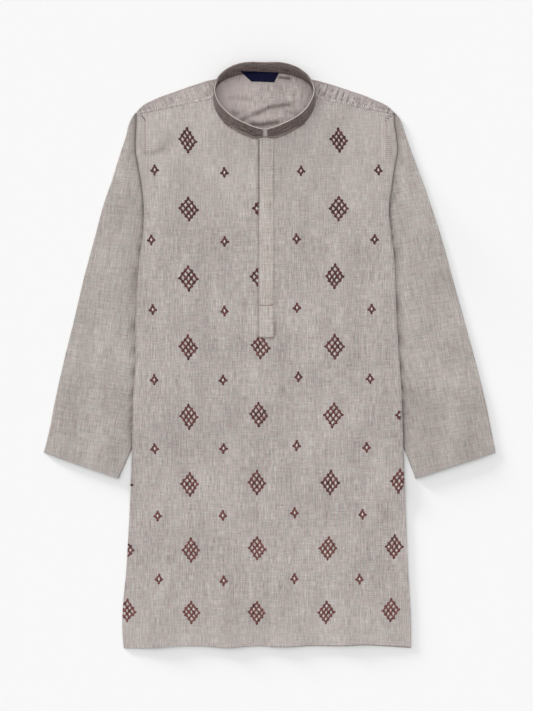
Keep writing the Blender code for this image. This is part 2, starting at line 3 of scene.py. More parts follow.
import bmesh
import bpy
import numpy as np
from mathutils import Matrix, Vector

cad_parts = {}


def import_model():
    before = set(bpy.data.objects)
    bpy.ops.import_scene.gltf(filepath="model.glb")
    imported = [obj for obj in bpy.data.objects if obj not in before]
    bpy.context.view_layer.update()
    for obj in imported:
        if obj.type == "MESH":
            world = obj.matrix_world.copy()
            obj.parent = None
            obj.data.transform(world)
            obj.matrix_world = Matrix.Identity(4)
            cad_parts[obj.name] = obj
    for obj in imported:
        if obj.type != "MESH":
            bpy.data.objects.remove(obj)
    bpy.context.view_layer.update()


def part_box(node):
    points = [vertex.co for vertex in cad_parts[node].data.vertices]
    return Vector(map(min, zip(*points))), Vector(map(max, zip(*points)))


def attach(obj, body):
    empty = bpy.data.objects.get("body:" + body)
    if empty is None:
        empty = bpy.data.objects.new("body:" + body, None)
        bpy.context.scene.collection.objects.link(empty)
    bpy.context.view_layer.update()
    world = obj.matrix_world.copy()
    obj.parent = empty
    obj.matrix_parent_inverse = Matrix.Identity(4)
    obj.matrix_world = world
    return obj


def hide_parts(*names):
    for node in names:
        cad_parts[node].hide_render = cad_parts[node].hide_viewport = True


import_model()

# A child's kurta tunic laid flat, front side up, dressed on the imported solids.
# Sizes are in millimetres until a mesh is made. x runs to the right, z runs up, and "down" is
# measured over the table from the collar's top edge towards the hem.

mm = 0.001
bothSides = ("left", "right")
rng = np.random.default_rng(7)
collarTopY = round(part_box("collar_band")[1].y / mm, 1)

wall = 1.0              # the solids' cloth
seamGap = 0.3
foldRadius = wall + seamGap / 2
flatTube = 2 * foldRadius
clothThickness = 0.8    # the cloth as it is drawn here, hung from the solids' tops


def table(columns, rows):
    # rows of numbers turned into one array for each named column
    return {name: np.array(values, float) for name, values in zip(columns.split(), zip(*rows))}


def rowsOf(columns):
    # the rows of such a table again, each as a dictionary
    return [dict(zip(columns, values)) for values in zip(*columns.values())]


# Edges of the body below the shoulder tip: armhole seam first, then the side of the body.
bodyEdge = table("down left right", [
    (67, -177, 165.5), (80, -176.8, 165.4), (99, -177.9, 168), (120, -177.8, 169.4),
    (141.5, -174, 165.5), (163, -170.4, 162.8), (195, -167.4, 158.8), (226.6, -168.4, 161.5),
    (258.6, -173, 165.5), (333, -178.4, 168.8), (407.5, -179, 173.4), (450, -182, 176.1),
    (490, -182.6, 177.4), (515, -182.8, 178), (556.5, -184.3, 179.2), (663, -189.7, 183.4),
    (766, -195.4, 187.8), (780, -194, 187.6),
])
armholeFrom, armholeTo, hemDown = 67.0, 192.0, 780.0
belowCuffs = 560.0      # no sleeve lies below this line
backYokeDown = 123.8

# Fold of the yoke over each shoulder, from the neck to the shoulder tip.
shoulder = table("down left right", [
    (22, -60.6, 47), (24.5, -79.3, 60.4), (29.8, -96.6, 80.3), (35.1, -112.5, 96.3),
    (40.4, -127.1, 112.3), (45.8, -143.1, 128.2), (51.1, -155.1, 140.2), (56.4, -165.7, 152.2),
    (61.7, -172.4, 160.1), (67, -177, 165.5),
])
frontYokeAtNeck, frontYokeAtArm = 49.0, 70.4

# The hem of the front, which ripples a little.
hem = table("x down", [
    (-194, 780), (-160, 780), (-115, 777), (-85, 777.5), (-55, 779.5), (-30, 777.5), (-15, 776.7),
    (5, 778), (30, 778), (50, 776.5), (100, 776.5), (125, 775.3), (160, 776.7), (187.4, 778.5),
])

# Outer fold of each sleeve, from the shoulder tip to the cuff, and its inner edge under the body.
sleeveOuter = table("down left right", [
    (67, -177, 165.5), (72.4, -181.7, 170.8), (83, -187, 176.1), (99, -191, 181.4),
    (125.6, -199.9, 190.7), (157.5, -209.6, 202.7), (184, -218.9, 212), (237.3, -233.5, 229.3),
    (290.5, -247.8, 243.9), (343.7, -260.1, 258.6), (396.9, -273.4, 273.2), (450, -285.2, 286.5),
    (503.2, -296.1, 297.2), (519.8, -300.5, 300.5),
])
sleeveInner = table("down left right", [
    (192, -167.7, 159.2), (221.3, -143.1, 135.5), (266.5, -123.2, 116.2), (322.4, -119.2, 113.6),
    (396.9, -137.8, 132.9), (466, -162.1, 157.6), (519, -185.2, 180.6), (554.5, -200.8, 194.2),
])
# Where sections across a sleeve start on the outer fold and end on the inner edge, below the armhole.
sleeveSection = table("outer inner", [
    (192, 192), (198, 196), (210, 207), (230, 225), (252, 250), (278, 282), (308, 318), (342, 358),
    (380, 402), (420, 446), (458, 488), (492, 525), (519.8, 554.5),
])
sleeveTipDown, sleeveSewnTo = 67.8, 190.0

# The neck ring seen from above: where the band is sewn on, and its top edge, pushed up the table.
neckSeam = {"x": -6.8, "down": 47.1, "across": 67.3, "front": 53.3, "back": 33.0,
            "frontPower": 2.04, "backPower": 2.5,
            "bends": table("degrees out wide", [(14, 1.9, 6), (44, -1.1, 8)])}
neckTop = {"x": -6.8, "down": 38.0, "polar": table("degrees radius", [
    (-15, 61), (0, 65.8), (15, 63.3), (30, 59.1), (45, 54.8), (60, 51.9), (75, 51.9), (90, 53),
    (105, 52), (120, 51.9), (135, 54.6), (150, 58.7), (165, 63.6), (180, 66.1), (195, 62.7),
    (210, 55.3), (225, 47.6), (240, 41), (255, 36.8), (270, 35.2), (285, 36.9), (300, 40.7),
    (315, 46.5), (330, 53.5), (345, 61), (360, 65.8), (375, 63.3),
])}
neckPointAngle = 25.0

bodyLoft = {"rise": 1.3, "edge": 34.0}
sleeveLoft = {"rise": 2.0, "edge": 26.0, "clearOfBody": 2.0}
neckRise = {"rise": 6.0, "reach": 62.0, "edge": 12.0, "fromSide": 70.0}
tuck = {"rise": flatTube + 0.6, "full": 13.0, "ramp": 40.0}
lip = {"reach": 4.0, "spread": 0.6}

# Creases: a straight run from one point to another, its height (below 0 a trough) and half width.
# The first rows of each table are the solids' own folds.
bodyFold = table("x down toX toDown height width", [
    (-158, 114, -134, 118, -1.1, 8), (-134, 118, -110, 98, -0.7, 9), (0, 443, 56, 456, -0.7, 12),
    (-6, 612, 28, 640, -0.8, 11), (20, 300, 80, 285, -0.6, 13), (-172, 470, -140, 640, 0.8, 16),
    (150, 430, 160, 640, 0.8, 16), (-55, 640, -52, 790, 1.3, 17), (18, 650, 18, 790, 1.2, 16),
    (-135, 690, -140, 790, 1.2, 18), (95, 560, 112, 790, 1.2, 22), (-152, 116, -134, 124, -0.5, 4.5),
    (-134, 124, -116, 104, -0.25, 5), (4, 444, 44, 453, -0.35, 4), (0, 618, 22, 636, -0.35, 4),
    (128, 128, 150, 118, -0.5, 6), (-96, 356, -62, 350, -0.25, 6), (60, 520, 96, 512, 0.3, 7),
    (-120, 560, -96, 590, -0.3, 6), (40, 96, 72, 90, 0.35, 6), (-66, 690, -40, 700, -0.3, 6),
])
sleeveFold = table("side x down toX toDown height width", [
    (-1, -252, 336, -190, 384, -0.9, 12), (-1, -232, 300, -192, 330, -0.6, 12),
    (-1, -205, 190, -200, 300, 0.7, 14), (1, 250, 336, 184, 384, -0.9, 12),
    (1, 228, 300, 186, 332, -0.6, 12), (1, 200, 190, 204, 300, 0.7, 14),
    (-1, -246, 341, -196, 380, -0.5, 4.5), (-1, -222, 470, -232, 530, 0.4, 9),
    (-1, -258, 430, -270, 505, -0.4, 8), (-1, -188, 240, -196, 282, -0.4, 6),
    (1, 244, 341, 192, 378, -0.5, 4.5), (1, 226, 468, 236, 520, 0.4, 9),
    (1, 258, 430, 268, 500, -0.4, 8), (1, 186, 236, 192, 280, -0.4, 6),
])
# Low creases in the back, which can only rise off the table, and in the yoke inside the neck.
backFold = table("x down toX toDown height width", [
    (-60, 250, 40, 268, 0.7, 9), (-20, 420, 70, 405, 0.6, 11), (-90, 520, -40, 600, 0.7, 10),
    (60, 560, 96, 660, 0.6, 12), (-20, 650, -10, 740, 0.7, 14),
])
yokeFold = table("x down toX toDown height width", [
    (-44, 75, -19, 64, 1.2, 4.6), (-19, 64, 0, 56.2, 1.4, 4.4), (0, 56.2, 30, 52, 1.4, 4.2),
    (-58, 45, -28, 46, 0.5, 4.2), (-24, 77.6, -8, 79, 1.1, 3.6), (-8, 79, 14, 75.4, 1.2, 3.6),
    (24, 61, 38, 65, 0.5, 4), (-54, 62, -42, 65.4, 0.5, 3.4), (13, 19, 26, 20.4, 0.6, 1),
    (-60, 19.6, -50, 16.6, 0.5, 1.1), (36, 40, 33, 62, 0.4, 3), (47, 36, 44, 58, 0.4, 3),
])


# Curves and distances in the plane of the table, as pairs of x and down.

def smooth(t):
    # 0 below 0, 1 above 1, level at both ends
    t = np.clip(t, 0.0, 1.0)
    return t * t * (3.0 - 2.0 * t)


def bell(away, reach):
    # exp(-(away / reach) ** 2): 1 at the middle, about a third one reach away
    return np.exp(-(away / reach) ** 2)


def bump(value, shape):
    # strength * bell(value - middle, reach), for a shape of (strength, middle, reach)
    return shape[0] * bell(value - shape[1], shape[2])


def along(rows, key, value, at):
    # cubic Hermite curve through a table's points
    k, v = rows[key], rows[value]
    slope = np.gradient(v, k)
    at = np.asarray(at, float)
    i = np.clip(np.searchsorted(k, at) - 1, 0, len(k) - 2)
    h = k[i + 1] - k[i]
    t = (at - k[i]) / h
    return ((1 + 2 * t) * (1 - t) ** 2 * v[i] + t * (1 - t) ** 2 * h * slope[i]
            + t * t * (3 - 2 * t) * v[i + 1] - t * t * (1 - t) * h * slope[i + 1])


def pairs(x, down):
    # x and down side by side, one pair for each point
    return np.stack(np.broadcast_arrays(x, down), axis=-1).astype(float)


def chord(line):
    # fraction of a line's length reached at each of its points
    run = np.append(0.0, np.cumsum(np.linalg.norm(np.diff(line, axis=0), axis=1)))
    return run / run[-1]


def resample(line, fractions):
    # points at given shares of a line's length, straight between its own points
    run = chord(line)
    return np.column_stack([np.interp(fractions, run, line[:, k]) for k in range(line.shape[1])])


def smoothLine(points, fractions):
    # the same on a smooth curve, x and down each a cubic of the length reached
    rows = {"run": chord(points), "x": points[:, 0], "down": points[:, 1]}
    return pairs(along(rows, "run", "x", fractions), along(rows, "run", "down", fractions))


def crowded(count, crowd=0.7):
    # 0 to 1 in even steps, then drawn towards both ends: t - crowd * sin(2 pi t) / 2 pi
    t = np.linspace(0.0, 1.0, count)
    return t - crowd * np.sin(2 * np.pi * t) / (2 * np.pi)


def tightEnd(t, inset, end):
    # one more value close inside the first (0) or the last (-1)
    return np.insert(t, 1, t[0] + inset) if end == 0 else np.insert(t, len(t) - 1, t[-1] - inset)


def distanceTo(points, line):
    # least distance from each point to an open line of points, a segment at a time
    flat = points.reshape(-1, 2)
    least = np.full(len(flat), np.inf)
    for start, end in zip(line[:-1], line[1:]):
        step = end - start
        t = np.clip((flat - start) @ step / max(step @ step, 1e-9), 0.0, 1.0)
        away = flat - start - t[:, None] * step
        least = np.minimum(least, np.einsum("ij,ij->i", away, away))
    return np.sqrt(least).reshape(points.shape[:-1])


def bodySide(side, down):
    # points of the body's side edge at given distances down
    return pairs(along(bodyEdge, "down", side, down), down)


def sleeveInnerLine(side, down):
    # points of a sleeve's inner edge at given distances down
    return pairs(along(sleeveInner, "down", side, down), down)


def shoulderLine(side, fractions):
    # points of a shoulder fold, from the neck at 0 to the tip at 1
    return smoothLine(pairs(shoulder[side], shoulder["down"]), fractions)


def frontAngle(degrees):
    # degrees from the middle of the front, to either side
    return np.abs((np.asarray(degrees) + 90.0) % 360.0 - 180.0)


def ring(shape, degrees):
    # a curve round its centre, 90 degrees being the front: radii from a table, or a superellipse with
    # its own power in front and behind, pushed out or in by a bell curve at each bend
    angle = np.radians(degrees)
    c, s = np.cos(angle), np.sin(angle)
    if "polar" in shape:
        r = along(shape["polar"], "degrees", "radius", np.mod(degrees, 360.0))
        return pairs(shape["x"] + r * c, shape["down"] + r * s)
    depth = np.where(s > 0, shape["front"], shape["back"])
    power = np.where(s > 0, shape["frontPower"], shape["backPower"])
    r = (np.abs(c / shape["across"]) ** power + np.abs(s / depth) ** power) ** (-1 / power)
    for middle, out, wide in zip(*shape["bends"].values()):
        r = r + out * bell(frontAngle(degrees) - middle, wide)
    return pairs(shape["x"] + r * c, shape["down"] + r * s)


def ringAngle(down):
    # angle at which the right half of the neck seam reaches a distance down
    angles = np.linspace(-80.0, 80.0, 321)
    return float(np.interp(down, ring(neckSeam, angles)[:, 1], angles))


# Heights of the cloth over the table.

def creases(points, rows):
    # each crease is a bell across its run, height * exp(-(distance / width) ** 2)
    total = np.zeros(points.shape[:-1])
    for row in rowsOf(rows):
        run = np.array([(row["x"], row["down"]), (row["toX"], row["toDown"])])
        total += row["height"] * bell(distanceTo(points, run), row["width"])
    return total


sleeveEdges = {side: sleeveInnerLine(side, np.linspace(*sleeveInner["down"][[0, -1]], 60))
               for side in bothSides}


def lift(points):
    # the body stands tuck["rise"] off the table over a sleeve and comes down beside it
    rise = np.zeros(points.shape[:-1])
    for side, sign in (("left", -1.0), ("right", 1.0)):
        edge = sleeveEdges[side]
        edgeX = np.interp(points[..., 1], edge[:, 1], edge[:, 0])
        level = (points[..., 1] >= edge[0, 1]) & (points[..., 1] <= edge[-1, 1])
        over = level & (sign * (points[..., 0] - edgeX) > 0)
        away = np.where(over, 0.0, distanceTo(points, edge))
        rise = np.maximum(rise, tuck["rise"] * smooth(1 - (away - tuck["full"]) / tuck["ramp"]))
    return rise


bodyOutlines = [np.vstack([shoulderLine(side, np.linspace(0, 1, 30)),
                           bodySide(side, np.linspace(armholeFrom, hemDown, 80))])
                for side in bothSides]
neckFrontLine = ring(neckSeam, np.linspace(-neckPointAngle, 180 + neckPointAngle, 60))


def frontAir(points):
    # air under the front: none at the edges, most round the front of the neck
    away = np.minimum(*(distanceTo(points, outline) for outline in bodyOutlines))
    away = np.maximum(away - foldRadius, 0.0)
    air = smooth(away / bodyLoft["edge"]) * (bodyLoft["rise"] + creases(points, bodyFold))
    nearNeck = smooth(1 - distanceTo(points, neckFrontLine) / neckRise["reach"])
    inFront = smooth((points[..., 1] - shoulder["down"][0]) / neckRise["fromSide"])
    return air + neckRise["rise"] * nearNeck * inFront * smooth(away / neckRise["edge"])


def backTop(points):
    # lift over the sleeves, one wall, and the creases, which fade out near the outline
    away = np.minimum(*(distanceTo(points, outline) for outline in bodyOutlines))
    return lift(points) + wall + creases(points, backFold) * smooth(away / bodyLoft["edge"] - 0.5)


def frontTop(points):
    # lift over the sleeves, two walls and a gap, and the air between them
    return lift(points) + 2 * wall + seamGap + frontAir(points)


def sleeveTop(points, side):
    # two flat layers, with air between them where nothing lies on them
    outer = pairs(sleeveOuter[side], sleeveOuter["down"])
    fromOuter = smooth(distanceTo(points, outer) / sleeveLoft["edge"])
    sign = -1 if side == "left" else 1
    out = sign * (points[..., 0] - along(bodyEdge, "down", side, points[..., 1]))
    fromBody = smooth((out - sleeveLoft["clearOfBody"]) / sleeveLoft["edge"])
    rows = {name: values[sleeveFold["side"] == sign] for name, values in sleeveFold.items()}
    return flatTube + fromOuter * fromBody * (sleeveLoft["rise"] + creases(points, rows))


# Grids of points to meshes.

def place(points, heights):
    # plan points and heights in millimetres to world points in millimetres
    heights = np.broadcast_to(heights, points.shape[:-1])
    return np.stack([points[..., 0], collarTopY - points[..., 1], heights], axis=-1)


def gridFaces(rows, columns, closed=False, first=0):
    # quads of a grid numbered row by row; closed joins the last column to the first
    i, j = np.meshgrid(np.arange(rows - 1), np.arange(columns - (0 if closed else 1)), indexing="ij")
    i, j = i.ravel(), j.ravel()
    a, b = i * columns + j, i * columns + (j + 1) % columns
    return first + np.column_stack([a, b, b + columns, a + columns])


def coons(top, bottom, left, right, s, t):
    # Coons patch: both blends of opposite edges added, less the blend of the four corners
    s, t = s[None, :, None], t[:, None, None]
    ruled = (1 - t) * top[None] + t * bottom[None] + (1 - s) * left[:, None] + s * right[:, None]
    corners = ((1 - s) * (1 - t) * top[0] + s * (1 - t) * top[-1]
               + (1 - s) * t * bottom[0] + s * t * bottom[-1])
    return ruled - corners


def relax(grid, rounds):
    # again and again, each inner point moves to the mean of its four neighbours
    for turn in range(rounds):
        grid[1:-1, 1:-1] = (grid[:-2, 1:-1] + grid[2:, 1:-1] + grid[1:-1, :-2] + grid[1:-1, 2:]) / 4
    return grid


def makeMesh(name, vertices, faces, attributes=None, uv=None, flip=False):
    # one object from points in millimetres, with a float for each point in each attribute and the
    # flat place of each point, also in millimetres, as its UV map
    mesh = bpy.data.meshes.new(name)
    faces = [face[::-1] for face in faces] if flip else faces
    mesh.from_pydata(np.asarray(vertices).reshape(-1, 3) * mm, [], [list(map(int, f)) for f in faces])
    for key, values in (attributes or {}).items():
        layer = mesh.attributes.new(key, "FLOAT", "POINT")
        layer.data.foreach_set("value", np.asarray(values, np.float32).ravel())
    if uv is not None:
        layer = mesh.uv_layers.new(name="cloth")
        corner = np.zeros(len(mesh.loops), np.int32)
        mesh.loops.foreach_get("vertex_index", corner)
        layer.data.foreach_set("uv", (np.asarray(uv).reshape(-1, 2)[corner] * mm).ravel())
    mesh.shade_smooth()
    piece = bpy.data.objects.new(name, mesh)
    bpy.context.scene.collection.objects.link(piece)
    return piece


def weld(piece, distance=0.02):
    # points nearer than the distance become one
    work = bmesh.new()
    work.from_mesh(piece.data)
    bmesh.ops.remove_doubles(work, verts=work.verts, dist=distance * mm)
    work.to_mesh(piece.data)
    work.free()
    piece.data.shade_smooth()


def thicken(piece, thickness=clothThickness, offset=-1.0):
    # the drawn surface is the outside, and the wall grows inwards from it
    solid = piece.modifiers.new("clothWall", "SOLIDIFY")
    solid.thickness = thickness * mm
    solid.offset = offset
    solid.use_rim = True


def finishPiece(piece, material, node=None):
    # material, body and the solid the piece stands for, which is hidden
    piece.data.materials.append(material)
    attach(piece, "root")
    if node:
        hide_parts(node)
    return piece


# Node materials.

def srgb(red, green, blue):
    # display values from 0 to 255 to linear light
    value = np.array([red, green, blue]) / 255.0
    linear = np.where(value <= 0.04045, value / 12.92, ((value + 0.055) / 1.055) ** 2.4)
    return (*linear.tolist(), 1.0)


def addNode(tree, kind, inputs=None, **settings):
    # a node with its settings; an input is linked to a socket or set to a value
    node = tree.nodes.new(kind)
    for key, value in settings.items():
        setattr(node, key, value)
    for socket, value in (inputs or {}).items():
        if isinstance(value, bpy.types.NodeSocket):
            tree.links.new(value, node.inputs[socket])
        else:
            node.inputs[socket].default_value = value
    return node


def calc(tree, operation, first, second=0.0, clamp=False):
    # first and second joined by one operation, kept between 0 and 1 if clamped
    node = addNode(tree, "ShaderNodeMath", {0: first, 1: second}, operation=operation, use_clamp=clamp)
    return node.outputs[0]


def noise(tree, vector, scale, detail=2.0, seed=0.0):
    # smooth noise stretched by one scale for each axis, in features per millimetre
    moved = addNode(tree, "ShaderNodeMapping", {"Vector": vector, "Location": (seed, seed * 1.7, 0.0),
                                                "Scale": (scale[0], scale[1], 0.0)})
    texture = addNode(tree, "ShaderNodeTexNoise", {"Vector": moved.outputs[0], "Scale": 1.0,
                                                   "Detail": detail, "Roughness": 0.55},
                      noise_dimensions="2D")
    return texture.outputs[0]


def ramp(tree, factor, stops):
    # colour at a factor between (position, colour) stops, the first two of them the ramp's own ends
    node = addNode(tree, "ShaderNodeValToRGB", {"Fac": factor})
    for index, (position, colour) in enumerate(stops):
        element = (node.color_ramp.elements[index] if index < 2
                   else node.color_ramp.elements.new(position))
        element.position, element.color = position, colour
    return node.outputs[0]


def clothVector(tree, uvName, turn):
    # millimetres along the weft and the warp, turned by the grain's angle in degrees
    if uvName:
        source = addNode(tree, "ShaderNodeUVMap", uv_map=uvName).outputs[0]
    else:
        source = addNode(tree, "ShaderNodeTexCoord").outputs["Object"]
    return addNode(tree, "ShaderNodeMapping", {"Vector": source, "Scale": (1000.0, 1000.0, 1000.0),
                                               "Rotation": (0.0, 0.0, math.radians(turn))}).outputs[0]


def mixColour(tree, factor, first, second, blend="MIX"):
    # first * (1 - factor) + second * factor, or the product of both when multiplied
    node = addNode(tree, "ShaderNodeMix", {0: factor, 6: first, 7: second}, data_type="RGBA",
                   blend_type=blend)
    return node.outputs[2]


def attribute(tree, name):
    # a value stored at each point of the mesh
    return addNode(tree, "ShaderNodeAttribute", attribute_name=name).outputs["Fac"]


def newMaterial(name):
    # a material with its node tree and its one shader
    material = bpy.data.materials.new(name)
    material.use_nodes = True
    return material, material.node_tree, material.node_tree.nodes["Principled BSDF"]


def wovenCloth(name, look):
    # slubby plain weave: long uneven streaks along warp and weft over fine yarns, and a bump that is
    # round over each crossing, cos(2 pi u / pitch) * cos(2 pi v / pitch), shaken by the streaks
    material, tree, shader = newMaterial(name)
    vector = clothVector(tree, look.get("uv"), look.get("turn", 0.0))
    warpSlub = noise(tree, vector, (look["slubWidth"], look.get("warpRun", 0.022)), 2.0, 3.1)
    weftSlub = noise(tree, vector, (look.get("weftRun", 0.026), look["slubWidth"]), 2.0, 8.3)
    parts = [
        (look["slub"], warpSlub), (look["slub"] * look.get("weft", 0.8), weftSlub),
        (look["yarn"], noise(tree, vector, (1.1, 0.085), 2.0, 12.7)),
        (look["yarn"] * look.get("weft", 0.8), noise(tree, vector, (0.1, 1.1), 2.0, 21.9)),
        (look["cloud"], noise(tree, vector, (0.03, 0.012), 2.0, 31.0)),
    ]
    total = 0.5
    for strength, value in parts:
        swing = calc(tree, "MULTIPLY", calc(tree, "SUBTRACT", value, 0.5), strength)
        total = calc(tree, "ADD", total, swing)
    colour = ramp(tree, total, [(0.0, srgb(*look["dark"])), (1.0, srgb(*look["light"])),
                                (0.5, srgb(*look["mid"]))])
    tint = ramp(tree, noise(tree, vector, (0.26, 0.12), 2.0, 44.0),
                [(0.36, (0.972, 1.012, 1.0, 1.0)), (0.64, (1.028, 0.99, 0.995, 1.0))])
    colour = mixColour(tree, 1.0, colour, tint, "MULTIPLY")
    if "stripe" in look:
        # broken dark dashes across the cloth: a narrowed cosine along it, cut up by long noise
        dash = addNode(tree, "ShaderNodeSeparateXYZ", {0: vector})
        wave = calc(tree, "COSINE", calc(tree, "MULTIPLY", dash.outputs[0], 2 * math.pi / look["stripe"]))
        wave = calc(tree, "SUBTRACT", calc(tree, "MULTIPLY", wave, 1.7), 0.5, clamp=True)
        patch = noise(tree, vector, (0.045, 0.16), 1.0, 61.0)
        patch = calc(tree, "SUBTRACT", calc(tree, "MULTIPLY", patch, 5.0), 2.1, clamp=True)
        factor = calc(tree, "MULTIPLY", calc(tree, "MULTIPLY", wave, patch), attribute(tree, "stripe"))
        colour = mixColour(tree, factor, colour, srgb(122, 119, 117))
    # painted shade: the seam attribute darkens cloth where shade falls, at seams, in creases and gaps and
    # at the foot of walls, and also cloth that lies double
    colour = mixColour(tree, attribute(tree, "seam"), colour, srgb(*look["seamAndShadeDark"]))
    # pale: painted light in the neck, on the band's inner face and the under-lap; elsewhere paler cloth
    colour = mixColour(tree, attribute(tree, "pale"), colour, srgb(*look["edge"]))
    tree.links.new(colour, shader.inputs["Base Color"])

    axes = addNode(tree, "ShaderNodeSeparateXYZ", {0: vector})
    waves = []
    for axis, slub in ((0, warpSlub), (1, weftSlub)):
        turns = calc(tree, "ADD", calc(tree, "MULTIPLY", axes.outputs[axis], 2 * math.pi / look["pitch"]),
                     calc(tree, "MULTIPLY", slub, 9.0))
        waves.append(calc(tree, "COSINE", turns))
    crossing = calc(tree, "MULTIPLY", waves[0], waves[1])
    height = calc(tree, "ADD", calc(tree, "MULTIPLY", crossing, 0.35), total)
    relief = addNode(tree, "ShaderNodeBump",
                     {"Strength": look["bump"], "Distance": 0.0004, "Height": height})
    tree.links.new(relief.outputs[0], shader.inputs["Normal"])
    rough = calc(tree, "SUBTRACT", look["roughness"] + 0.04, calc(tree, "MULTIPLY", crossing, 0.05))
    tree.links.new(rough, shader.inputs["Roughness"])
    shader.inputs["Specular IOR Level"].default_value = look.get("specular", 0.25)
    shader.inputs["Sheen Weight"].default_value = look["sheen"]
    shader.inputs["Sheen Roughness"].default_value = 0.5
    return material


def threadMaterial(name, dark, light, roughness):
    # twisted thread: two tones mixed by the tone attribute, with fine ridges in its bump
    material, tree, shader = newMaterial(name)
    vector = clothVector(tree, None, 40.0)
    fibre = noise(tree, vector, (3.2, 1.1), 2.0, 5.0)
    tone = calc(tree, "ADD", attribute(tree, "tone"),
                calc(tree, "MULTIPLY", calc(tree, "SUBTRACT", fibre, 0.5), 0.8), clamp=True)
    colour = mixColour(tree, tone, srgb(*dark), srgb(*light))
    tree.links.new(colour, shader.inputs["Base Color"])
    relief = addNode(tree, "ShaderNodeBump", {"Strength": 0.4, "Distance": 0.0002, "Height": fibre})
    tree.links.new(relief.outputs[0], shader.inputs["Normal"])
    shader.inputs["Roughness"].default_value = roughness
    shader.inputs["Specular IOR Level"].default_value = 0.35
    shader.inputs["Sheen Weight"].default_value = 0.15
    return material


# Colours are display values. Strengths are of slubs, of the weft over the warp, of yarns and of clouds;
# slub widths and runs are features for each millimetre, the pitch of the weave is in millimetres.
# seamAndShadeDark is the colour that painted shade mixes towards
bodyLook = {"dark": (118, 110, 107), "mid": (178, 168.6, 164.6), "light": (225, 218, 214),
            "slub": 0.47, "slubWidth": 0.68, "weft": 0.58, "yarn": 0.76, "cloud": 0.3, "pitch": 0.62,
            "bump": 0.22, "roughness": 0.86, "sheen": 0.12, "seamAndShadeDark": (98, 88, 83),
            "edge": (206, 198, 193)}
bodyCloth = wovenCloth("bodyCloth", bodyLook)
# the grain of each sleeve follows the sleeve's own slope
sleeveCloth = {side: wovenCloth(f"sleeveCloth.{side}", {
    **bodyLook, "mid": (177, 168.2, 163.6), "slub": 0.46, "weft": 0.7, "yarn": 0.55, "turn": turn,
}) for side, turn in (("left", 8.0), ("right", -10.0))}
# inside the neck its seamAndShadeDark is painted crease shade and its edge colour painted light
yokeCloth = wovenCloth("yokeCloth", {
    **bodyLook, "mid": (178, 167.4, 164), "edge": (212, 198, 195), "seamAndShadeDark": (72, 55, 49),
    "slub": 0.32, "yarn": 1.15, "stripe": 7.9, "uv": "cloth"})
# its edge colour is painted light on the placket's under-lap
placketCloth = wovenCloth("placketCloth", {
    **bodyLook, "mid": (188, 178, 172), "edge": (240, 232, 226), "seamAndShadeDark": (50, 42, 41),
    "slub": 0.6, "weft": 0.75, "yarn": 0.6})
collarCloth = wovenCloth("collarCloth", {
    **bodyLook, "dark": (66, 56, 54), "mid": (114, 98, 95), "light": (158, 140, 135),
    "edge": (216, 209, 201), "seamAndShadeDark": (44, 38, 36), "slub": 0.4, "weft": 2.4, "yarn": 0.6,
    "pitch": 0.7, "weftRun": 0.05, "uv": "cloth"})
labelCloth = wovenCloth("labelCloth", {
    **bodyLook, "dark": (4, 6, 28), "mid": (11, 13, 46), "light": (26, 30, 74),
    "seamAndShadeDark": (10, 12, 36), "slub": 0.3, "yarn": 0.6, "pitch": 0.4, "roughness": 0.6, "sheen": 0.0,
    "specular": 0.1})
maroonThread, seamThread, brownThread, darkThread, paleThread = (threadMaterial(*row) for row in (
    ("maroonThread", (60, 22, 23), (138, 80, 74), 0.5),
    ("seamThread", (140, 126, 121), (200, 188, 182), 0.6),
    ("brownThread", (112, 82, 76), (213, 200, 192), 0.6),
    ("darkThread", (70, 62, 60), (226, 220, 216), 0.6),
    ("paleThread", (172, 163, 159), (232, 226, 222), 0.6)))
print("materials ready")


# Panels of cloth.

panelGrid = {"halfColumns": 62, "rows": 236, "backColumns": 96, "backRows": 190, "slitX": -10.0,
             "slitHalf": 0.4, "slitEnd": 330.0, "foldBand": 8}


def hemPoints(x):
    # points of the front's hem at given x
    return pairs(x, along(hem, "x", "down", x))


def shade(points, line, reach, strength):
    # strength times a bell over the distance from a line
    return strength * bell(distanceTo(points, line), reach)


def seamShade(points, side, reach, strength):
    # painted shade along the body's side: strongest at the armhole seam, and weaker where the body's side
    # lies on the sleeve
    line = bodySide(side, np.linspace(armholeFrom, armholeTo + 12.0, 44))
    tail = bodySide(side, np.linspace(armholeTo, belowCuffs, 60))
    return np.maximum(shade(points, line, reach, strength),
                      shade(points, tail, 1.1 * reach, 0.85 * strength))


def shadeRows(points, rows):
    # the strongest of a table's dark or pale lines at each point
    total = np.zeros(points.shape[:-1])
    for row in rowsOf(rows):
        run = np.array([(row["x"], row["down"]), (row["toX"], row["toDown"])])
        total = np.maximum(total, shade(points, run, row["width"], row["dark"]))
    return total


def edgeRoll(points, lines, reach, depth):
    # turned-down edge: depth at the line itself, rising over "reach"
    away = np.min([distanceTo(points, line) for line in lines], axis=0)
    return depth * bell(away, reach)


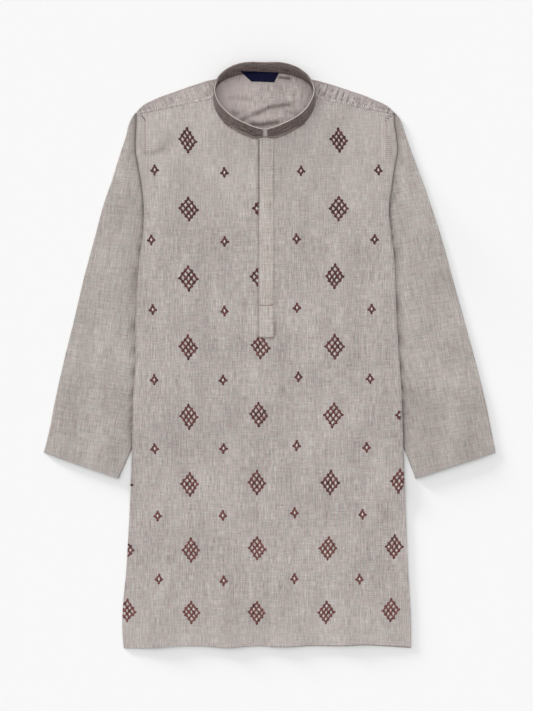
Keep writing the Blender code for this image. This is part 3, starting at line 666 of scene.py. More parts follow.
def frontHalf(side):
    # Coons patch between yoke seam and neck (top), hem (bottom), body side and front opening
    sign = -1.0 if side == "left" else 1.0
    away = seamGap / 2
    angle = ringAngle(frontYokeAtNeck + away)
    seamEnd = bodySide(side, frontYokeAtArm + away)
    openX = panelGrid["slitX"] + sign * panelGrid["slitHalf"]
    angles = np.linspace(angle, 90.0, 400)
    neck = ring(neckSeam, 180.0 - angles if side == "left" else angles)
    neck = neck[sign * (neck[:, 0] - openX) > 0]
    neck = np.vstack([neck, [openX, neck[-1, 1]]])
    seamCount = panelGrid["halfColumns"] // 2
    seam = seamEnd + (neck[0] - seamEnd) * tightEnd(crowded(seamCount - 1, 0.6), 0.004, 0)[:, None]
    top = np.vstack([seam, resample(neck, crowded(panelGrid["halfColumns"] - seamCount + 1, 0.3))[1:]])
    s = chord(top)
    t = tightEnd(tightEnd(crowded(panelGrid["rows"] - 2, 0.5), 0.0006, 0), 0.0006, -1)
    sideX = bodyEdge[side][-1]
    bottom = hemPoints(sideX + (openX - sideX) * s)
    edge = bodySide(side, seamEnd[1] + t * (bottom[0, 1] - seamEnd[1]))
    opening = pairs(openX, neck[-1, 1] + t * (bottom[-1, 1] - neck[-1, 1]))
    points = coons(top, bottom, edge, opening, s, t)
    return points if side == "left" else points[:, ::-1]


# Painted shade on the front: dark lines beside the placket's folded edge, under its end, and in one
# armpit crease.
frontShade = table("x down toX toDown dark width", [
    (-15.8, 104, -15.8, 366, 0.3, 1.6), (-15.3, 107, -15.3, 184, 0.5, 1.5),
    (-14, 368, 5, 368, 0.4, 1.3), (7.2, 346, 7.2, 364, 0.55, 1.5),
    (-166, 121.6, -152.4, 120.6, 0.62, 2.8), (-152.4, 120.6, -141.8, 115.4, 0.5, 3.4),
    (-141.8, 115.4, -131, 101, 0.2, 5), (-170.6, 80, -171, 118, 0.13, 6.5),
    (161.6, 84, 162.4, 126, 0.09, 6),
])
# Painted shade on the dark sides of the creases inside the neck, and painted light on the paler cloth
# beside them.
yokeShade = table("x down toX toDown dark width", [
    (-38, 78.5, -16.8, 68.8, 0.5, 3), (-16.8, 68.8, -2.1, 61.2, 0.6, 2.9),
    (-2.1, 60.6, 24.8, 57, 0.7, 2.7), (-8, 54.9, 22, 53.2, 0.22, 3.4),
    (-23.8, 82.6, -10.5, 84, 0.8, 2.7), (-10.5, 83.8, 9.8, 80.5, 0.78, 2.6),
    (23.1, 65.7, 36.4, 69.7, 0.34, 2.6), (-50.4, 66.6, -42, 69.9, 0.48, 2.4),
    (-60, 48.4, -25, 49.8, 0.3, 2.8), (13.5, 21, 26, 22.2, 1, 1.7), (-60, 22, -50, 19, 0.5, 1.6),
    (35, 36, 30, 60, 0.2, 1.8), (45, 32, 42, 56, 0.24, 1.8), (52, 44, 47, 62, 0.16, 1.8),
])
# painted light: paler cloth beside the creases and where the band's wall casts its shadow
yokePaintedLight = table("x down toX toDown dark width", [
    (-40, 72, -18, 61, 0.3, 4), (-18, 61, 6, 51, 0.25, 4), (-28, 76, 12, 70, 0.3, 4),
    (39, 36, 36, 60, 0.3, 2.4), (-60, 36, -34, 36, 0.5, 14), (-54, 52, -30, 56, 0.5, 9),
    (-67, 34, -61, 60, 1, 11),
])


# Front: (reach, depth) of edges turned down into their seams, (reach, strength) of painted shade at the
# seams, and paler cloth near the hem and the neck as (strength, from, over).
frontEdge = {"armRoll": (2.2, 0.45), "yokeRoll": (2.4, 0.14), "armDark": (1.8, 0.36),
             "yokeDark": (2.6, 0.1), "yokeDarkDown": 2.0, "hemPale": (0.17, 690.0, 80.0),
             "neckPale": (0.2, 240.0, 110.0)}


def makeFront():
    # two Coons halves side by side, joined below the slit, with edges turned down into their seams
    grid = np.concatenate([frontHalf("left"), frontHalf("right")], axis=1)
    rows, columns = grid.shape[:2]
    half = columns // 2
    faces = gridFaces(rows, columns)
    openTo = grid[:, half - 1, 1][faces[:, 0] // columns] < panelGrid["slitEnd"]
    faces = faces[~((faces[:, 0] % columns == half - 1) & openTo)]
    arms = [bodySide(side, np.linspace(armholeFrom, belowCuffs, 120)) for side in bothSides]
    yokeSeams = [np.array([bodySide(side, frontYokeAtArm), ring(neckSeam, angle)])
                 for side, angle in (("left", 180.0 - ringAngle(frontYokeAtNeck)),
                                     ("right", ringAngle(frontYokeAtNeck)))]
    look, down = frontEdge, grid[..., 1]
    height = (frontTop(grid) - edgeRoll(grid, arms, *look["armRoll"])
              - edgeRoll(grid, yokeSeams, *look["yokeRoll"]))
    # painted shade along the armhole seams, on the front's shade lines and softly below each yoke seam
    seam = (seamShade(grid, "left", *look["armDark"]) + seamShade(grid, "right", *look["armDark"])
            + shadeRows(grid, frontShade))
    for line in yokeSeams:
        seam = seam + shade(grid, line + (0.0, look["yokeDarkDown"]), *look["yokeDark"])
    (low, lowFrom, lowOver), (high, highFrom, highOver) = look["hemPale"], look["neckPale"]
    pale = low * smooth((down - lowFrom) / lowOver) + high * smooth((highFrom - down) / highOver)
    piece = makeMesh("frontCloth", place(grid, height), faces, {"seam": seam, "pale": pale}, flip=True)
    thicken(piece)
    return finishPiece(piece, bodyCloth, "front_panel")


def makeBack():
    # Coons patch between the yoke seam, the hem and both sides
    top = backYokeDown + seamGap / 2
    s, t = crowded(panelGrid["backColumns"], 0.5), crowded(panelGrid["backRows"], 0.5)
    downs = top + t * (hemDown - top)
    left, right = bodySide("left", downs), bodySide("right", downs)
    topLine = left[0] + (right[0] - left[0]) * s[:, None]
    bottom = hemPoints(left[-1, 0] + (right[-1, 0] - left[-1, 0]) * s)
    grid = coons(topLine, bottom, left, right, s, t)
    piece = makeMesh("backCloth", place(grid, backTop(grid)), gridFaces(*grid.shape[:2]),
                     {"seam": np.zeros(grid.shape[:2])}, flip=True)
    thicken(piece, wall)
    return finishPiece(piece, bodyCloth, "back_panel")


def foldLine(side, fractions):
    # points just inside a shoulder fold, with the plan direction out of it at each
    line = shoulderLine(side, fractions)
    step = np.gradient(line, axis=0)
    out = np.column_stack([step[:, 1], -step[:, 0]])
    out /= np.linalg.norm(out, axis=1)[:, None]
    out *= np.where(out[:, 1] > 0, -1.0, 1.0)[:, None]
    return line - out * foldRadius, out


# Points along a shoulder fold, down an arm edge, round the neck and across a front strip, rounds of
# relaxing, and how far the turned front edge lies over the front.
yokeGrid = {"fold": 60, "arm": 84, "neck": 128, "across": 20, "relax": 300, "outlineClear": 8.0,
            "overlap": 0.5}
# Pairs are the reach of a bell and its strength. Soft and sharp: painted shade beside the band, at the
# sides of the neck's back half. Arm, crease and fold: painted shade at seams and folds. Lap: height of
# the turned edge.
# pale and palest: painted light on the cloth inside the neck
yokeTone = {"soft": (5.0, 0.34), "sharp": (2.0, 0.7), "sideFrom": 22.0, "sideRamp": 26.0,
            "backTo": 70.0, "backRamp": 30.0, "neckTo": 118.0, "neckRamp": 20.0, "pale": 0.1,
            "palest": 0.8, "fold": 0.08, "arm": (1.6, 0.2), "crease": (1.5, 0.08), "lap": (2.0, 0.06),
            "stripe": {"left": 0.12, "right": 0.9}}


def yokeBack(folds):
    # Coons patch whose top edge runs up one shoulder fold, round the neck and down the other fold; it
    # is an underside skin, so the wall grows upwards from it
    look, sides = yokeTone, {}
    for side in bothSides:
        downs = np.linspace(armholeFrom + 2 * foldRadius, backYokeDown - seamGap / 2, yokeGrid["arm"])
        sides[side] = np.vstack([folds[side][0][-1:], bodySide(side, downs)[1:]])
    angles = np.linspace(180.0 + neckPointAngle, 360.0 - neckPointAngle, 60)
    neck = resample(ring(neckSeam, angles), np.linspace(0, 1, yokeGrid["neck"]))[1:-1]
    top = np.vstack([folds["left"][0][::-1], neck, folds["right"][0]])
    s, t = chord(top), chord(sides["left"])
    bottom = sides["left"][-1] + (sides["right"][-1] - sides["left"][-1]) * s[:, None]
    flat = relax(coons(top, bottom, sides["left"], sides["right"], s, t), yokeGrid["relax"])
    outlineAway = np.min([distanceTo(flat, folds[side][0]) for side in bothSides], axis=0)
    rise = np.maximum(creases(flat, yokeFold), 0.0) * smooth(outlineAway / yokeGrid["outlineClear"])
    fromBand = distanceTo(flat, ring(neckSeam, np.linspace(0.0, 360.0, 121)))
    # painted shade beside the band at the sides of the neck's back half
    bySide = smooth((np.abs(flat[..., 0] - neckSeam["x"]) - look["sideFrom"]) / look["sideRamp"])
    byBack = smooth((look["backTo"] - flat[..., 1]) / look["backRamp"])
    (softReach, soft), (sharpReach, sharp) = look["soft"], look["sharp"]
    dark = bySide * byBack * (soft * bell(fromBand, softReach) + sharp * bell(fromBand, sharpReach))
    # painted light inside the neck
    inNeck = smooth((look["neckTo"] - flat[..., 1]) / look["neckRamp"])
    return {"points": place(flat, rise), "flat": flat,
            "seam": np.clip(shadeRows(flat, yokeShade) + dark, 0.0, 1.0),
            "pale": inNeck * np.clip(look["pale"] + shadeRows(flat, yokePaintedLight), 0.0, look["palest"])}


def yokeShoulder(side, line, out):
    # half round over the fold: out by radius * sin(turn), up by radius * (1 - cos(turn))
    turns = np.linspace(0.0, np.pi, panelGrid["foldBand"] + 1)
    strip = np.stack([place(line + out * foldRadius * math.sin(a), foldRadius - foldRadius * math.cos(a))
                      for a in turns], axis=1)
    flat = np.stack([line + out * foldRadius * a for a in turns], axis=1)
    # painted shade over the turning fold
    return {"points": strip, "flat": flat, "seam": yokeTone["fold"], "flip": side == "left"}


def yokeFront(side, line, out):
    # Coons patch from the fold to the turned edge on the front; its grain follows the shoulder's slope
    look = yokeTone
    toward = (line[-1] - line[0]) / np.linalg.norm(line[-1] - line[0])
    normal = np.array([toward[1], -toward[0]])
    normal *= np.sign(normal @ out.mean(axis=0))
    angles = np.linspace(-neckPointAngle, ringAngle(frontYokeAtNeck + yokeGrid["overlap"]), 60)
    across = crowded(yokeGrid["across"], 0.5)
    neckEdge = resample(ring(neckSeam, angles if side == "right" else 180.0 - angles), across)
    neckEdge[0] = line[0]
    armEnd = bodySide(side, frontYokeAtArm + yokeGrid["overlap"])
    armEdge = line[-1] + (armEnd - line[-1]) * across[:, None]
    along01 = chord(line)
    seamLine = neckEdge[-1] + (armEnd - neckEdge[-1]) * along01[:, None]
    front = coons(line, seamLine, neckEdge, armEdge, along01, across)
    arm = bodySide(side, np.linspace(armholeFrom, frontYokeAtArm + 1.0, 6))
    lap = shade(front, seamLine, *look["lap"])
    return {"points": place(front, flatTube + frontAir(front) + lap),
            "flat": np.stack([(front - line[0]) @ toward, (front - line[0]) @ normal], axis=-1),
            # painted shade at the armhole and along the fold
            "seam": shade(front, arm, *look["arm"]) + shade(front, line, *look["crease"]),
            "stripe": look["stripe"][side], "flip": side == "right"}


def makeYoke():
    # one folded piece: a back patch, a half-round fold on each shoulder and two front patches, welded
    # where neighbours share the points of a fold
    folds = {side: foldLine(side, crowded(yokeGrid["fold"], 0.4)) for side in bothSides}
    patches = [yokeBack(folds)]
    for side in bothSides:
        patches += [yokeShoulder(side, *folds[side]), yokeFront(side, *folds[side])]
    faces, first = [], 0
    for patch in patches:
        rows, columns = patch["points"].shape[:2]
        quads = gridFaces(rows, columns, first=first)
        faces.extend(quads[:, ::-1] if patch.get("flip") else quads)
        first += rows * columns
    values = {key: np.concatenate([np.broadcast_to(patch.get(key, 0.0), patch["points"].shape[:2]).ravel()
                                   for patch in patches]) for key in ("seam", "stripe", "pale")}
    piece = makeMesh("yokeCloth", np.vstack([patch["points"].reshape(-1, 3) for patch in patches]), faces,
                     values, uv=np.vstack([patch["flat"].reshape(-1, 2) for patch in patches]))
    weld(piece)
    thicken(piece)
    return finishPiece(piece, yokeCloth, "yoke")


# Sleeve: its grid, how far its edge runs in under the armhole seam and how small its tip is rounded,
# the deep hem, and seams turned down (reach, depth) and painted shade at them (reach, strength).
sleeveGrid = {"rowStep": 3.2, "sections": 131, "lastStep": 0.013, "across": 26, "fold": 7, "lap": 0.2,
              "tipRound": 0.42, "hemFrom": 434.0, "hemRise": 0.35, "hemLine": (0.2, 0.0, 0.9),
              "hemShade": {"left": 0.02, "right": 0.07}, "armRoll": (2.2, 0.5), "seam": (2.0, 0.62),
              "besideSeam": (7.0, 0.3)}


def makeSleeve(side):
    # sections from the outer fold to the inner edge, each a flattened loop: lower layer, outer
    # half-round, upper layer, and below the armhole an inner half-round
    sign = -1.0 if side == "left" else 1.0
    look = sleeveGrid
    sewnCount = round((sleeveSewnTo - sleeveTipDown) / look["rowStep"])
    sewn = np.linspace(sleeveTipDown, sleeveSewnTo, sewnCount)
    lastSection = len(sleeveSection["outer"]) - 1.0
    step = tightEnd(np.linspace(0.0, lastSection, look["sections"]), look["lastStep"], -1)
    index = np.arange(len(sleeveSection["outer"]))
    closedOuter = np.interp(step, index, sleeveSection["outer"])
    closedInner = np.interp(step, index, sleeveSection["inner"])
    outerDowns = np.append(sewn, closedOuter)
    outerLine = pairs(along(sleeveOuter, "down", side, outerDowns), outerDowns)
    innerLine = np.vstack([bodySide(side, sewn) + (sign * look["lap"], 0.0),
                           sleeveInnerLine(side, closedInner)])
    closedFrom, rows = len(sewn), len(outerLine)
    run = innerLine - outerLine
    length = np.linalg.norm(run, axis=1)
    run /= length[:, None]
    # the fold is a smaller round where the sleeve runs out to nothing at the shoulder tip
    radius = np.minimum(foldRadius, look["tipRound"] * length)
    end = length - radius * (np.arange(rows) >= closedFrom)
    lipRise = np.append(lift(bodySide(side, sewn)), np.zeros(rows - closedFrom))
    lipReach = lip["reach"] + lip["spread"] * np.maximum(sleeveSewnTo - outerDowns, 0.0)
    across = crowded(look["across"], 0.75)

    columns, plans = [], []

    def addColumn(points, heights):
        # one more column of the loop, in space and in plan
        columns.append(place(points, heights))
        plans.append(points)

    def addLayer(t, isUpper):
        # a column a share t of the way from the outer fold to the inner edge, with the lip's rise
        points = outerLine + run * (radius + t * (end - radius))[:, None]
        rise = lipRise * smooth(1 - (1 - t) * (end - radius) / lipReach)
        addColumn(points, rise + sleeveTop(points, side) if isUpper else rise)

    turns = np.linspace(0.0, np.pi, look["fold"] + 1)[1:-1]
    for t in across[::-1]:
        addLayer(t, False)
    for a in turns:
        addColumn(outerLine + run * (radius * (1 - math.sin(a)))[:, None],
                  foldRadius - foldRadius * math.cos(a))
    for t in across:
        addLayer(t, True)
    for a in turns:
        addColumn(outerLine + run * (end + radius * math.sin(a))[:, None],
                  foldRadius + foldRadius * math.cos(a))
    grid, plan = np.stack(columns, axis=1), np.stack(plans, axis=1)
    # upper layer: turned down into the armhole seam, and raised where the deep hem lies double
    lastLayer = 2 * len(across) + len(turns)
    upper = slice(len(across) + len(turns), lastLayer)
    armLine = bodySide(side, np.linspace(armholeFrom, belowCuffs, 120))
    grid[:, upper, 2] -= edgeRoll(plan[:, upper], [armLine], *look["armRoll"])
    toHem = plan[..., 1] - look["hemFrom"]
    double = smooth(toHem / 2.0 + 0.5)
    grid[:, upper, 2] += look["hemRise"] * double[:, upper]
    width = grid.shape[1]
    faces = gridFaces(rows, width, closed=True)
    isOpen = (faces[:, 0] // width < closedFrom) & (faces[:, 0] % width >= lastLayer - 1)
    faces = faces[~isOpen]
    # painted shade along the armhole seam and beside it, and darker where the deep hem lies double
    seam = seamShade(plan, side, *look["seam"]) + seamShade(plan, side, *look["besideSeam"])
    seam = np.clip(seam + look["hemShade"][side] * double + bump(toHem, look["hemLine"]), 0.0, 1.0)
    piece = makeMesh(f"sleeveCloth.{side}", grid, faces, {"seam": seam}, flip=side == "left")
    thicken(piece)
    return finishPiece(piece, sleeveCloth[side], f"sleeve_{side}")


# Collar band: its height and half thickness, the round of its two ends, where it starts and ends round
# the neck, and its stations: closer together over the first and the last degrees.
collarGrid = {"rise": 24.0, "half": 1.0, "corner": 3.4, "fromAngle": 92.4, "toAngle": 445.6,
              "endArc": 7.2, "endStations": 22, "stations": 380, "backBlend": 9.0, "round": 9,
              "steps": (0.0, 0.9, 1.8, 2.7, 3.6, 4.6, 6.0, 8.0, 10.0, 12.5, 15.0, 18.0, 21.0, 24.0)}
# Tones of the band, painted shade and light among them: bumps (strength, middle, reach) over the height
# or the sideways offset, in millimetres, and ramps over the angle from the front (centre, width).
collarTone = {"foot": (0.5, 0.0, 1.6), "crest": (1.0, -0.25, 0.5), "crestBehind": 0.12,
              "crestTo": (100.0, 14.0), "insidePaintedLight": (0.16, 0.45), "sides": (190.0, 350.0),
              "sidePaintedShade": (0.6, 0.0, 11.0), "darkTo": 14.0, "ledge": (1.0, 2.6, 1.5), "ledgePale": 0.5,
              "ledgeTo": (47.0, 14.0), "dots": (0.75, 0.25, 2.8), "groove": (1.0, 0.0, 0.9),
              "upperGroove": (0.5, 5.6, 1.2), "groovePaintedShade": 0.7}


def collarTones(degrees, run, side, height):
    # dark and pale shares for each station (down the rows) and each point of the profile (across); the
    # dark is painted shade, part of the pale painted light
    look = collarTone

    def before(ends):
        # 1 in front of an angle, 0 behind it
        return smooth((ends[0] - frontAngle(degrees)) / ends[1] + 0.5)[:, None]

    outside, inside = side > 0.9, side < -0.9
    # pale turned edge along the top, on the inner half of the round, faint behind the neck
    crest = np.where(height > collarGrid["rise"], bump(side, look["crest"]), 0.0)
    pale = crest * (look["crestBehind"] + (1 - look["crestBehind"]) * before(look["crestTo"]))
    # painted light and shade: the inside is paler towards its top and darker at its foot on both sides of
    # the neck, and the band is darker at its foot
    most, start = look["insidePaintedLight"]
    upward = smooth((height / collarGrid["rise"] - start) / (1 - start))
    pale = pale + np.where(inside, most * upward, 0.0)
    fromSide = np.min([np.abs(degrees - angle) for angle in look["sides"]], axis=0)
    foot = np.where(inside, smooth(1 - height / look["darkTo"]), 0.0)
    dark = bump(height, look["foot"]) + bump(fromSide, look["sidePaintedShade"])[:, None] * foot
    # stitched ledge along the foot of the front, on the outside, between two grooves drawn as painted
    # shade
    front = before(look["ledgeTo"])
    ledge = np.where(outside, bump(height, look["ledge"]), 0.0)
    groove = np.where(outside, bump(height, look["groove"]) + bump(height, look["upperGroove"]), 0.0)
    level, swing, pitch = look["dots"]
    dots = (level + swing * np.cos(2 * np.pi * run / pitch))[:, None]
    pale = pale + look["ledgePale"] * (front * dots) * ledge
    return dark * (1 - front * outside) + look["groovePaintedShade"] * front * groove, pale


def makeCollar():
    # a rounded wall section carried round the neck ring; it leans from the seam line to the top line
    look = collarGrid
    near = np.linspace(0.0, look["endArc"], look["endStations"])
    middle = np.linspace(look["fromAngle"] + look["endArc"], look["toAngle"] - look["endArc"],
                         look["stations"])
    degrees = np.concatenate([look["fromAngle"] + near[:-1], middle, look["toAngle"] - near[-2::-1]])
    seam, top = ring(neckSeam, degrees), ring(neckTop, degrees)
    run = np.append(0.0, np.cumsum(np.linalg.norm(np.diff(seam, axis=0), axis=1)))
    fromEnd = np.clip(np.minimum(run, run[-1] - run), 0.0, look["corner"])
    corner = look["corner"] - np.sqrt(look["corner"] ** 2 - (look["corner"] - fromEnd) ** 2)
    reach = 1.0 - (corner + look["half"]) / look["rise"]
    behind = frontAngle(degrees) - 90.0 - neckPointAngle
    onBack = wall + seamGap
    onFront = frontTop(seam) + seamGap
    low = onBack + (onFront - onBack) * smooth(1 - np.maximum(behind, 0.0) / look["backBlend"])
    up = np.array(look["steps"]) / look["rise"]
    arc = np.linspace(0.0, np.pi, look["round"] + 2)[1:-1]
    # each profile point: share of the height, sideways offset, extra height over the wall's top
    profile = ([(u, look["half"], 0.0) for u in up]
               + [(1.0, look["half"] * math.cos(a), look["half"] * math.sin(a)) for a in arc]
               + [(u, -look["half"], 0.0) for u in up[::-1]])
    rings = []
    for share, offset, extra in profile:
        t = (share * reach)[:, None]
        line = seam * (1 - t) + top * t
        step = np.gradient(line, axis=0)
        out = np.column_stack([-step[:, 1], step[:, 0]])
        out /= np.linalg.norm(out, axis=1)[:, None]
        out *= np.sign((out * (line - (neckSeam["x"], neckSeam["down"]))).sum(1))[:, None]
        rings.append(place(line + out * offset, low + t[:, 0] * look["rise"] + extra))
    grid = np.stack(rings, axis=1)
    rows, width = grid.shape[:2]
    faces = [list(face) for face in gridFaces(rows, width, closed=True)]
    faces += [list(range(width))[::-1], list(range((rows - 1) * width, rows * width))]
    height = np.array([share * look["rise"] + extra for share, offset, extra in profile])
    side = np.array([offset for share, offset, extra in profile])
    dark, pale = collarTones(degrees, run, side, height)
    piece = makeMesh("collarCloth", grid, faces, {"seam": dark, "pale": pale},
                     uv=np.stack(np.broadcast_arrays(run[:, None], height[None, :]), axis=-1))
    work = bmesh.new()
    work.from_mesh(piece.data)
    bmesh.ops.recalc_face_normals(work, faces=work.faces)
    work.to_mesh(piece.data)
    work.free()
    return finishPiece(piece, collarCloth, "collar_band")


# Placket: its edges, how far it puffs up, and how much painted shade lies in its open folded edge on the
# way down. Bumps are (strength, middle, reach) over the distance from an edge.
placketStrip = {"left": -14.8, "right": 5.6, "wide": 20.4, "end": 366.8, "columns": 26, "rows": 300,
                "puff": (0.25, 17.0), "edgeDown": (0.3, 0.0, 0.9), "folded": (1.0, 0.5, 0.85),
                "darkDown": (100.0, 106.0, 180.0, 200.0, 250.0, 300.0, 366.0),
                "dark": (0.7, 1.0, 1.0, 0.62, 0.42, 0.42, 0.55), "uneven": (6.3, 17.0),
                "dots": (0.2, 2.6), "dotted": (1.0, 0.3, 0.6), "endPaintedShade": (0.26, 0.3, 0.7)}


def placketStart(x):
    # the placket starts half the band's thickness and a gap below the neck seam
    line = ring(neckSeam, np.linspace(60.0, 120.0, 241))
    return np.interp(-np.asarray(x, float), -line[:, 0], line[:, 1]) + collarGrid["half"] + seamGap


def makePlacket():
    # a strip between two straight edges, laid on the front and puffed a little between its edges by
    # puff * sin(pi * u), u being the share of its width
    look = placketStrip
    u = crowded(look["columns"], 0.7)
    x = look["left"] + (look["right"] - look["left"]) * u
    t = crowded(look["rows"], 0.3)
    start = placketStart(x)
    grid = pairs(x[None, :], start[None, :] + (look["end"] - start)[None, :] * t[:, None])
    down = grid[..., 1]
    puff = look["puff"][0] * np.sin(np.pi * u)[None, :] * (0.6 + 0.4 * np.sin(down / look["puff"][1]))
    edge = np.minimum(np.minimum(u, 1 - u)[None, :] * look["wide"], look["end"] - down)
    height = frontTop(grid) + seamGap + clothThickness + puff - bump(edge, look["edgeDown"])
    # painted shade in the gap under the open folded edge, most of all near the neck, and uneven lower
    # down
    uneven = 0.86 + 0.14 * np.sin(down / look["uneven"][0]) * np.sin(down / look["uneven"][1])
    dark = np.interp(down, look["darkDown"], look["dark"]) * uneven
    seam = dark * bump(u[None, :] * look["wide"], look["folded"])
    dots = look["dots"][0] * (0.5 + 0.5 * np.cos(2 * np.pi * down / look["dots"][1]))
    seam = seam + dots * bump((1 - u[None, :]) * look["wide"], look["dotted"])
    # painted shade under the placket's lifted end
    seam = np.clip(seam + bump(look["end"] - down, look["endPaintedShade"]), 0.0, 1.0)
    piece = makeMesh("placketCloth", place(grid, height), gridFaces(*grid.shape[:2]), {"seam": seam},
                     flip=True)
    thicken(piece)
    return finishPiece(piece, placketCloth, "front_placket")


# Under-lap of the placket, seen in the gap of the band: its angles round the neck, its height, its
# distance inside the seam, the painted shade of its dark line and dark top, and its painted light.
stand = {"fromAngle": 97.2, "toAngle": 81.4, "columns": 12, "rows": 40, "inside": 1.5, "from": -1.0,
         "to": 21.5, "line": (0.75, 92.3, 0.75), "top": (0.85, 0.0, 1.8), "pale": 0.5}


def makeStand():
    # a short strip that stands against the inside of the band, behind its two ends: seam line plus
    # a share of the way to the top line
    degrees = np.linspace(stand["fromAngle"], stand["toAngle"], stand["columns"])
    seam, top = ring(neckSeam, degrees), ring(neckTop, degrees)
    share = np.linspace(stand["from"], stand["to"], stand["rows"])[:, None] / collarGrid["rise"]
    line = seam[None] * (1 - share[..., None]) + top[None] * share[..., None]
    line = line - (0.0, stand["inside"])
    base = frontTop(seam) + seamGap
    points = place(line, base[None] + share * collarGrid["rise"])
    size = points.shape[:2]
    fromTop = stand["to"] - share * collarGrid["rise"]
    # painted shadow of the band's end as a dark line, and painted shade at the top; the pale share is
    # painted light
    dark = bump(degrees, stand["line"])[None] + bump(fromTop, stand["top"])
    piece = makeMesh("placketStand", points, gridFaces(*size),
                     {"seam": dark, "pale": np.full(size, stand["pale"])}, flip=True)
    thicken(piece)
    return finishPiece(piece, placketCloth)


# Neck label: four corners from the top left, how high it lies over the yoke, how its edges turn, their
# painted shade.
label = {"corners": table("x down", [(-39.2, 12.9), (12.4, 14.7), (6.2, 27.3), (-24.2, 26.3)]),
         "wide": 40.0, "high": 10.6, "over": 0.9, "edgeDown": (0.25, 0.0, 0.7), "fromBand": 0.7,
         "thickness": 0.6, "dark": (0.4, 0.0, 0.8)}


def bandFaceRise(points, clear):
    # height at which the leaning inner face of the band stands over a point behind the neck
    angles = np.linspace(200.0, 340.0, 281)
    low, high = ring(neckSeam, angles), ring(neckTop, angles)
    lowDown = np.interp(points[..., 0], low[:, 0], low[:, 1]) + collarGrid["half"] + clear
    highDown = np.interp(points[..., 0], high[:, 0], high[:, 1]) + collarGrid["half"] + clear
    return collarGrid["rise"] * np.clip((lowDown - points[..., 1]) / (lowDown - highDown), 0.0, 1.0)


def makeLabel():
    # bilinear patch between four corners, its edges turned down; nothing is on it, and its top
    # edge climbs the inner face of the band
    topLeft, topRight, lowRight, lowLeft = pairs(label["corners"]["x"], label["corners"]["down"])
    s, t = crowded(48, 0.6), crowded(28, 0.6)
    ruledTop = topLeft + (topRight - topLeft) * s[:, None]
    ruledLow = lowLeft + (lowRight - lowLeft) * s[:, None]
    grid = ruledTop[None] + (ruledLow - ruledTop)[None] * t[:, None, None]
    edge = np.minimum(np.minimum(s, 1 - s)[None, :] * label["wide"],
                      np.minimum(t, 1 - t)[:, None] * label["high"])
    height = wall + seamGap + label["over"] - bump(edge, label["edgeDown"])
    height = np.hypot(height, bandFaceRise(grid, label["fromBand"]))
    # painted shade along the turned edges
    piece = makeMesh("labelCloth", place(grid, height), gridFaces(*grid.shape[:2]),
                     {"seam": bump(edge, label["dark"])}, flip=True)
    thicken(piece, label["thickness"])
    return finishPiece(piece, labelCloth, "neck_label")


# Raised thread.

def beadTemplate(around=8):
    # half ellipsoid of two rings and a top point, one unit long, wide and high
    angles = np.linspace(0.0, 2 * np.pi, around, endpoint=False)
    rings = [np.column_stack([0.5 * r * np.cos(angles), 0.5 * r * np.sin(angles), np.full(around, z)])
             for r, z in ((1.0, 0.0), (0.82, 0.62))]
    vertices = np.vstack(rings + [[(0.0, 0.0, 1.0)]])
    quads = [[i, (i + 1) % around, around + (i + 1) % around, around + i] for i in range(around)]
    tips = [[around + i, around + (i + 1) % around, 2 * around] for i in range(around)]
    return vertices, quads + tips + [list(range(around))[::-1]]


def makeBeads(name, centres, angles, sizes, tones, heightOf, material, slot, sink=0.1):
    # every bead is the template scaled, turned in plan and set on the cloth's height below each point
    template, faces = beadTemplate()
    c, s = np.cos(angles)[:, None], np.sin(angles)[:, None]
    x, y = template[None, :, 0] * sizes[:, :1], template[None, :, 1] * sizes[:, 1:2]
    plan = centres[:, None] + np.stack([x * c - y * s, x * s + y * c], axis=-1)
    vertices = place(plan, heightOf(plan) + template[None, :, 2] * sizes[:, 2:3] - sink)
    count = len(template)
    allFaces = [[i + k * count for i in face[::-1]] for k in range(len(centres)) for face in faces]
    tone = np.repeat(tones, count)
    piece = makeMesh(name, vertices.reshape(-1, 3), allFaces, {"tone": tone})
    return finishPiece(piece, material)


def beadsAlong(line, size, slant=0.0):
    # beads of one named size evenly spaced along a line, each turned to follow it and then slanted
    pitch, length, width, high = stitchSize[size]
    total = np.linalg.norm(np.diff(line, axis=0), axis=1).sum()
    count = max(int(total / pitch), 1)
    at = (np.arange(count) + 0.5) / count
    centres = resample(line, at)
    ahead, behind = resample(line, np.clip(at + 0.01, 0, 1)), resample(line, np.clip(at - 0.01, 0, 1))
    step = ahead - behind
    angles = np.arctan2(step[:, 1], step[:, 0]) + slant
    return centres, angles, np.tile([length, width, high], (count, 1))


def joinBeads(groups):
    # groups strung together: centres, angles and sizes
    return tuple(np.concatenate([group[k] for group in groups]) for k in range(3))


